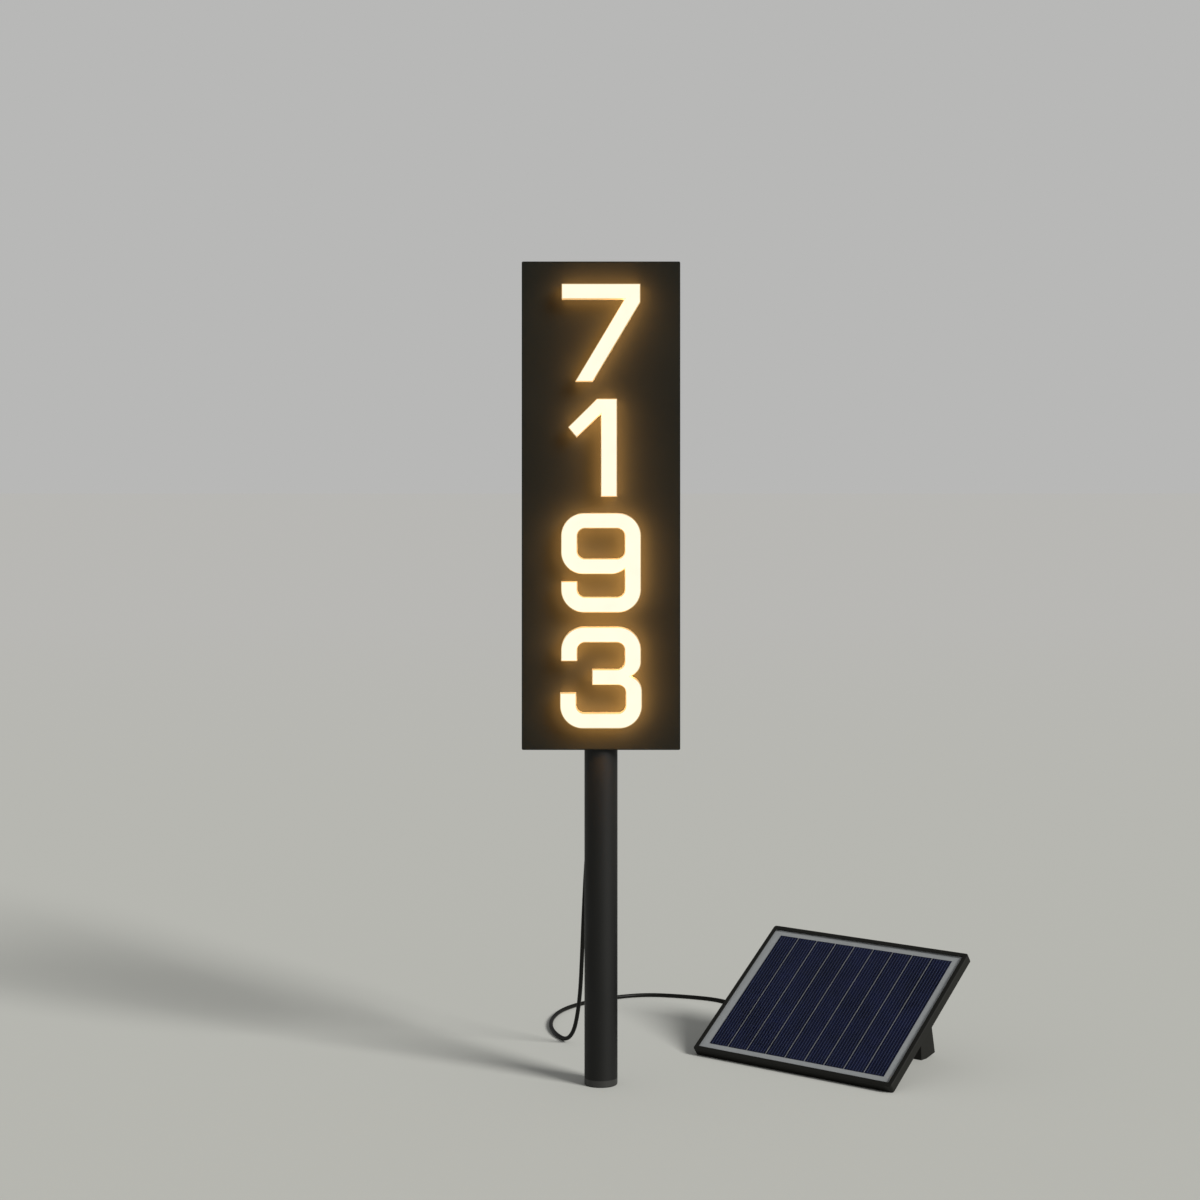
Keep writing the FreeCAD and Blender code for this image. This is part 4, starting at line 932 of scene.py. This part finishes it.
@dataclass(frozen=True)
class ButtonScrew:
    """One size of button-head screw."""

    radius: float                    # of the shank
    flats: float                     # across the hexagonal socket
    head_share: float                # the head's radius for a shank of 1
    height_share: float = 1.1        # and the head's height

    def seats(self, node: bpy.types.Object, aim: Vector) -> tuple[bpy.types.Mesh, float]:
        """Where a node's screws sit, read from its solids.

        Args:
            node: the screws' CAD node.
            aim: the way their heads look.

        Returns:
            A mesh with one point for each screw and the attribute aim, and the shanks' length.
        """
        side = aim.orthogonal().normalized()
        other = aim.cross(side)
        places = []
        for points in solids_of(node):
            across = [[point.dot(way) for point in points] for way in (side, other)]
            along = [point.dot(aim) for point in points]
            seat = max(along) - self.height_share * self.radius
            middle = [(min(values) + max(values)) / 2 for values in across]
            places.append(side * middle[0] + other * middle[1] + aim * seat)
            length = seat - min(along)
        mesh = bpy.data.meshes.new(node.name + "_seats")
        mesh.from_pydata([tuple(place) for place in places], [], [])
        for item in mesh.attributes.new("aim", "FLOAT_VECTOR", "POINT").data:
            item.vector = aim
        return mesh, length

    def build(self, tree: GeometryBench, name: str, finish: Finish, node: bpy.types.Object, aim: Vector,
              seed: int) -> None:
        """Put finished screws in the place of a node's plain ones.

        Args:
            tree: the tree that makes screws.
            name: the new piece's name.
            finish: its finish.
            node: the CAD node.
            aim: the way the heads look.
            seed: of the random turns of the sockets.
        """
        base, length = self.seats(node, aim)
        piece = tree.piece(name, finish, base, head_radius=self.head_share * self.radius,
                           head_height=self.height_share * self.radius, socket_flats=self.flats,
                           shank_radius=self.radius, shank_length=length, seed=seed)
        ride_root(piece, "stainless", node.name)


@dataclass(frozen=True)
class GripRibs:
    """A ring of grip ribs on a nut or a bezel."""

    count: int
    radius: float                    # of the circle that the ribs' middles stand on
    width: float                     # of a rib, along the circle
    height: float                    # across it
    length: float                    # and along the ring's axis

    def build(self, tree: GeometryBench, name: str, finish: Finish, matrix: Matrix, slot: str) -> None:
        """Make the ring and put it on the root body.

        Args:
            tree: the tree that makes rings of ribs.
            name: the piece's name.
            finish: its finish.
            matrix: the ring's middle and axis.
            slot: its material slot.
        """
        piece = tree.piece(name, finish, matrix=matrix, ribs=self.count, radius=self.radius,
                           rib_width=self.width, rib_height=self.height, rib_length=self.length)
        ride_root(piece, slot)


@dataclass
class Sign:
    """The lit box: its sheet metal, figures, light engine, electrics and rear fittings."""

    cover_screw: ButtonScrew = ButtonScrew(radius=2.0 * MM, flats=2.4 * MM, head_share=1.9)
    cover_seed: int = 7
    gland_ribs: GripRibs = GripRibs(count=24, radius=7.6 * MM, width=0.8 * MM, height=0.9 * MM,
                                    length=3.4 * MM)
    gland_place: Place = (0.0, 32.7 * MM, 374.0 * MM)
    bezel_ribs: GripRibs = GripRibs(count=36, radius=9.0 * MM, width=0.7 * MM, height=0.5 * MM,
                                    length=1.2 * MM)
    bezel_place: Place = (44.0 * MM, 21.0 * MM, 374.0 * MM)

    def dress(self, frame: dict[str, Any], look: Finishes) -> None:
        """Give the box's nodes their finishes.

        Args:
            look: the finishes.
        """
        dress(frame, look.powder, "face_shell", "nine_counter_insert")
        dress(frame, look.rear, "rear_cover")
        dress(frame, look.opal, "numeral_seven", "numeral_one", "numeral_nine", "numeral_three")
        dress(frame, look.white_sheet, "diffuser_sheet")
        dress(frame, look.white_paint, "led_tray")
        dress(frame, look.zinc, "face_studs", "stud_nuts", "press_nuts", "board_screws", "switch_nut")
        dress(frame, look.natural_nylon, "tray_spacers", "board_standoffs")
        dress(frame, look.white_board, "led_boards")
        dress(frame, look.phosphor, "leds")
        dress(frame, look.components, "battery_holder", "controller_parts")
        dress(frame, look.sleeve, "battery_cells")
        dress(frame, look.strap, "battery_strap")
        dress(frame, look.green_board, "controller_board")
        dress(frame, look.red_lead, "battery_lead", "led_lead")
        dress(frame, look.jacket, "panel_lead", "switch_lead")
        dress(frame, look.rubber, "rear_gasket", "sign_gland_seal")
        dress(frame, look.nylon, "sign_gland_body", "sign_gland_nut", "sign_gland_locknut")
        dress(frame, look.fitting, "switch_body")
        dress(frame, look.grey_cap, "power_button")

    def rear_fittings(self, frame: dict[str, Any], look: Finishes, screws: GeometryBench,
                      ribs: GeometryBench) -> None:
        """Cover screws, and the grip ribs of the gland's nut and the switch's bezel.

        Args:
            look: the finishes.
            screws: the tree that makes screws.
            ribs: the tree that makes rings of ribs.
        """
        self.cover_screw.build(screws, "cover_screw_set", look.stainless, frame["nodes"]["cover_screws"],
                               Vector((0, 1, 0)), self.cover_seed)
        turn = Matrix.Rotation(math.radians(-90), 4, "X")
        self.gland_ribs.build(ribs, "sign_gland_grip", look.nylon,
                              Matrix.Translation(self.gland_place) @ turn, "gland_nylon")
        self.bezel_ribs.build(ribs, "switch_bezel_grip", look.fitting,
                              Matrix.Translation(self.bezel_place) @ turn, "switch_plastic")


@dataclass
class Post:
    """The post with its spigot, foot plug and fixings."""

    def dress(self, frame: dict[str, Any], look: Finishes) -> None:
        """Give the post's nodes their finishes.

        Args:
            look: the finishes.
        """
        dress(frame, look.post, "post_tube")
        dress(frame, look.cast, "post_spigot")
        dress(frame, look.zinc, "spigot_screws")
        dress(frame, look.nylon, "foot_plug")
        dress(frame, look.brass, "foot_insert")
        dress(frame, look.black_steel, "grub_screws")


@dataclass
class Panel:
    """The solar panel on its folding stand."""

    width: float = 249.0 * MM
    length: float = 187.0 * MM
    tilt: float = 35.9
    yaw: float = 39.75
    corner: Vector = field(default_factory=lambda: Vector((101.4 * MM, 123.1 * MM, 0.0)))
    cell_side: float = 14.9 * MM     # from the panel's side to the first strip
    cell_end: float = 12.2 * MM      # from its lower edge to the strips' ends
    strips: int = 9
    strip_gap: float = 1.2 * MM
    cells_top: float = 7.4 * MM
    pane_gap: float = 0.12 * MM      # between the cells and the glass
    pane_edge: float = 0.3 * MM      # the ground edge of the glass
    fingers: int = 6                 # conductors on each strip
    finger_width: float = 0.55 * MM
    finger_height: float = 0.04 * MM
    finger_short: float = 1.0 * MM   # how much shorter they are than their strip
    screw: ButtonScrew = ButtonScrew(radius=1.5 * MM, flats=1.8 * MM, head_share=1.8)
    screw_seeds: tuple[tuple[str, int], ...] = (("junction_screws", 3), ("bracket_screws", 5))
    gland_ribs: GripRibs = GripRibs(count=24, radius=7.6 * MM, width=0.8 * MM, height=0.9 * MM,
                                    length=2.2 * MM)
    gland_place: Place = (27.5 * MM, 113.0 * MM, -23.6 * MM)

    def matrix(self) -> Matrix:
        """The panel's own frame: X across, Y up the slope, Z out of the glass.

        Returns:
            The frame, frozen.
        """
        turn = Matrix.Rotation(math.radians(-self.yaw), 4, "Z")
        lean = Matrix.Rotation(math.radians(self.tilt), 4, "X")
        return (Matrix.Translation(self.corner) @ turn @ lean).freeze()

    def dress(self, frame: dict[str, Any], look: Finishes) -> None:
        """Give the panel's nodes their finishes.

        Args:
            look: the finishes.
        """
        dress(frame, look.moulding, "panel_frame", "panel_back", "kick_stand")
        dress(frame, look.fitting, "junction_cover", "left_hinge_bracket", "right_hinge_bracket")
        dress(frame, Silicon("blue_silicon", self.matrix()), "cell_strips")
        dress(frame, look.border, "back_sheet")
        dress(frame, look.rubber, "junction_gasket", "panel_gland_seal")
        dress(frame, look.terminals, "terminal_block")
        dress(frame, look.nylon, "panel_gland_body", "panel_gland_nut")
        dress(frame, look.stainless, "pivot_pins")

    def pane(self, frame: dict[str, Any], look: Finishes) -> None:
        """The glass, a hair thinner than its room so that it clears the cells.

        Args:
            look: the finishes.
        """
        inverse = self.matrix().inverted()
        low, high = box_round([inverse @ vertex.co
                               for vertex in frame["nodes"]["panel_glass"].data.vertices])
        low.z += self.pane_gap
        work = bmesh.new()
        bmesh.ops.create_cube(work, size=1.0)
        bmesh.ops.scale(work, vec=high - low, verts=work.verts)
        bmesh.ops.translate(work, vec=(low + high) / 2, verts=work.verts)
        bmesh.ops.bevel(work, geom=work.edges[:], offset=self.pane_edge, segments=2, affect="EDGES")
        mesh = bpy.data.meshes.new("glass_pane")
        work.to_mesh(mesh)
        work.free()
        ride_root(finished("glass_pane", mesh, look.glass, self.matrix()), "panel_glass", "panel_glass")

    def conductors(self, look: Finishes, bars: GeometryBench) -> None:
        """Fine conductors along each strip of cell.

        Args:
            look: the finishes.
            bars: the tree that makes rows of bars.
        """
        pitch = (self.width - 2 * self.cell_side + self.strip_gap) / self.strips
        step = pitch / (self.fingers + 1)
        start = Vector((self.cell_side - self.strip_gap / 2 + step, self.length / 2, self.cells_top))
        lines = bars.piece("cell_conductors", look.tinned, matrix=self.matrix() @ Matrix.Translation(start),
                           groups=self.strips, group_pitch=pitch, bars=self.fingers, bar_pitch=step,
                           bar_width=self.finger_width, bar_height=self.finger_height,
                           bar_length=self.length - 2 * self.cell_end - self.finger_short)
        ride_root(lines, "bare_steel")

    def back_fittings(self, frame: dict[str, Any], look: Finishes, screws: GeometryBench,
                      ribs: GeometryBench) -> None:
        """Screws behind the panel and the grip ribs of its gland's nut.

        Args:
            look: the finishes.
            screws: the tree that makes screws.
            ribs: the tree that makes rings of ribs.
        """
        aim = (self.matrix().to_3x3() @ Vector((0, 0, -1))).normalized()
        for node, seed in self.screw_seeds:
            self.screw.build(screws, node[:-1] + "_set", look.stainless, frame["nodes"][node], aim, seed)
        self.gland_ribs.build(ribs, "panel_gland_grip", look.nylon,
                              self.matrix() @ Matrix.Translation(self.gland_place), "gland_nylon")


@dataclass
class Cable:
    """The free cable from the sign's gland to the panel's."""

    diameter: float = 4.5 * MM
    length: float = 1.0218
    steps: int = 12                  # of the line, from one route point to the next
    rounding: int = 6                # steps round a quarter of the jacket
    boot_length: float = 20.0 * MM
    boot_root: float = 4.0 * MM      # its radius at the gland
    boot_tip: float = 2.7 * MM       # and at its far end
    boot_rings: int = 6
    ring_depth: float = 0.45 * MM
    boot_crease: float = 25.0        # its edges sharper than this, in degrees, stay sharp
    route: tuple[Place, ...] = (
        (0.0, 0.038, 0.374), (-0.0006, 0.064, 0.373), (-0.003, 0.091, 0.352), (-0.007, 0.108, 0.311),
        (-0.012, 0.112, 0.257), (-0.016, 0.1115, 0.204), (-0.0185, 0.117, 0.152), (-0.0203, 0.128, 0.105),
        (-0.0221, 0.141, 0.066), (-0.025, 0.153, 0.038), (-0.0295, 0.1635, 0.0145), (-0.038, 0.176, 0.0023),
        (-0.0505, 0.205, 0.0023), (-0.057, 0.243, 0.0023), (-0.0555, 0.284, 0.0023),
        (-0.045, 0.325, 0.0023), (-0.022, 0.359, 0.0023), (0.015, 0.390, 0.0023), (0.055, 0.405, 0.0023),
        (0.098, 0.395, 0.0023), (0.139, 0.377, 0.0023), (0.1594, 0.3462, 0.0023), (0.1741, 0.3106, 0.0023),
        (0.1916, 0.2753, 0.0023), (0.204, 0.245, 0.0023), (0.208, 0.221, 0.008),
        (0.2013213, 0.2002358, 0.0225178), (0.1915726, 0.1885143, 0.0435791))

    def curve(self, bevel: float) -> bpy.types.Object:
        """The cable's line as one NURBS spline.

        Args:
            bevel: the cable's radius, or 0 for the bare line.

        Returns:
            The curve's object.
        """
        curve = bpy.data.curves.new("solar_cable_line", "CURVE")
        curve.dimensions = "3D"
        curve.resolution_u = self.steps
        curve.bevel_depth = bevel
        curve.bevel_resolution = self.rounding
        curve.use_fill_caps = bevel > 0
        spline = curve.splines.new("NURBS")
        spline.points.add(len(self.route) - 1)
        for point, place in zip(spline.points, self.route):
            point.co = (*place, 1.0)
        spline.order_u = 3
        spline.use_endpoint_u = True
        piece = bpy.data.objects.new("cable", curve)
        bpy.context.scene.collection.objects.link(piece)
        return piece

    def line(self) -> list[Place]:
        """Points of the bare line.

        Returns:
            The points, from the sign to the panel.
        """
        holder = self.curve(0.0)
        graph = bpy.context.evaluated_depsgraph_get()
        mesh = bpy.data.meshes.new_from_object(holder.evaluated_get(graph))
        bpy.data.objects.remove(holder)
        return [tuple(vertex.co) for vertex in mesh.vertices]

    def build(self, look: Finishes, boots: GeometryBench) -> None:
        """The cable and a tapered boot at each end.

        Args:
            look: the finishes.
            boots: the tree that makes boots.
        """
        cable = self.curve(self.diameter / 2)
        cable.data.materials.append(look.jacket.material())
        log.info("%s: %d route points", cable.name, len(self.route))
        ride_root(cable, "cable_jacket", "solar_cable")
        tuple(self.route[0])
        points = self.line()
        for name, ordered in (("sign_cable_boot", points), ("panel_cable_boot", points[::-1])):
            base = bpy.data.meshes.new(name + "_line")
            base.from_pydata(ordered, [(step, step + 1) for step in range(len(ordered) - 1)], [])
            boot = boots.piece(name, look.rubber, base, crease=self.boot_crease, length=self.boot_length,
                               root_radius=self.boot_root, tip_radius=self.boot_tip, rings=self.boot_rings,
                               ring_depth=self.ring_depth)
            ride_root(boot, "gland_nylon")


# ---------------------------------------------------------------- studio
WHITE: Colour = (1.0, 1.0, 1.0)


@dataclass
class Studio:
    """Floor, light, backdrop and the photograph's camera."""

    camera_place: Place = (-0.0005, -2.3403, 0.60435)
    lens: float = 69.0
    sensor: float = 36.0
    shift: Pair = (-0.5 / 1200, -110.0 / 1200)
    sight: float = 2000.0            # how far the camera sees
    floor_half: float = 400.0
    # the floor is painted a touch darker near the object than far off, where it meets the backdrop: slight
    # painted shade
    floor_near: Colour = linear(182, 183, 178)
    floor_far: Colour = linear(184, 184, 182)
    floor_change: Pair = (0.5, 8.0)  # from where to where the one becomes the other
    backdrop: Colour = linear(184, 184, 183)
    sky: float = 0.35
    mirrored: float = 0.2            # the sky as glossy surfaces show it
    sun: float = 3.84
    sun_colour: Colour = (1.0, 0.985, 0.96)
    sun_from: Vector = field(default_factory=lambda: Vector((0.640, -0.550, 0.536)))
    sun_angle: float = 20.0

    def camera(self) -> None:
        """Level camera in front of the sign, shifted as the photograph is framed."""
        data = bpy.data.cameras.new("photo_camera")
        data.lens = self.lens
        data.sensor_width = self.sensor
        data.sensor_height = self.sensor
        data.shift_x, data.shift_y = self.shift
        data.clip_end = self.sight
        camera = bpy.data.objects.new("photo_camera", data)
        camera.location = self.camera_place
        camera.rotation_euler = (math.pi / 2, 0.0, 0.0)
        bpy.context.scene.collection.objects.link(camera)
        bpy.context.scene.camera = camera

    def floor(self) -> None:
        """A plain floor that runs out of sight, painted a touch darker near the object than far off: slight
        painted shade.
        """
        half = self.floor_half
        mesh = bpy.data.meshes.new("floor")
        mesh.from_pydata([(-half, -half, 0), (half, -half, 0), (half, half, 0), (-half, half, 0)], [],
                         [(0, 1, 2, 3)])
        bench = ShaderBench("seamless_floor")
        place = bench.add("ShaderNodeSeparateXYZ", Vector=bench.place)
        away = bench.span(place.outputs["Y"], 0.0, 1.0, *self.floor_change)
        bench.principled(Base_Color=bench.blend(away, self.floor_near, self.floor_far),
                         Roughness=1.0, Specular_IOR_Level=0.0)
        mesh.materials.append(bench.material)
        floor = bpy.data.objects.new("floor", mesh)
        bpy.context.scene.collection.objects.link(floor)

    def lamp(self) -> None:
        """A large soft lamp from the right front."""
        data = bpy.data.lights.new("soft_key", "SUN")
        data.energy = self.sun
        data.color = self.sun_colour
        data.angle = math.radians(self.sun_angle)
        key = bpy.data.objects.new("soft_key", data)
        key.rotation_euler = self.sun_from.to_track_quat("Z", "Y").to_euler()
        bpy.context.scene.collection.objects.link(key)

    def surroundings(self) -> None:
        """An even sky, dimmer for glossy rays, that shows the camera the backdrop's colour."""
        world = bpy.data.worlds.new("studio")
        bpy.context.scene.world = world
        world.use_nodes = True
        bench = NodeBench(world.node_tree)
        bench.tree.nodes.clear()
        rays = bench.add("ShaderNodeLightPath").outputs
        last = bench.add("ShaderNodeBackground", Color=WHITE, Strength=self.sky).outputs[0]
        for ray, colour, strength in (("Is Glossy Ray", WHITE, self.mirrored),
                                      ("Is Camera Ray", self.backdrop, 1.0)):
            mix = bench.add("ShaderNodeMixShader", Fac=rays[ray])
            bench.put(last, mix.inputs[1])
            bench.put(bench.add("ShaderNodeBackground", Color=colour, Strength=strength).outputs[0],
                      mix.inputs[2])
            last = mix.outputs[0]
        bench.add("ShaderNodeOutputWorld", Surface=last)

    def build(self) -> None:
        """Set up the whole studio."""
        self.camera()
        self.floor()
        self.lamp()
        self.surroundings()
        bpy.context.scene.view_settings.view_transform = "Standard"


def main() -> None:
    """Build every piece in order."""
    logging.basicConfig(level=logging.INFO, format="%(name)s: %(message)s")
    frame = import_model()
    look = Finishes()
    Studio().build()
    Cable().build(look, boot_tree())
    screws = screw_tree()
    ribs = rib_ring_tree()
    sign = Sign()
    sign.dress(frame, look)
    sign.rear_fittings(frame, look, screws, ribs)
    Post().dress(frame, look)
    panel = Panel()
    panel.dress(frame, look)
    panel.pane(frame, look)
    panel.conductors(look, line_tree())
    panel.back_fittings(frame, look, screws, ribs)
    log.info("the object is dressed")


if __name__ == "__main__":
    main()
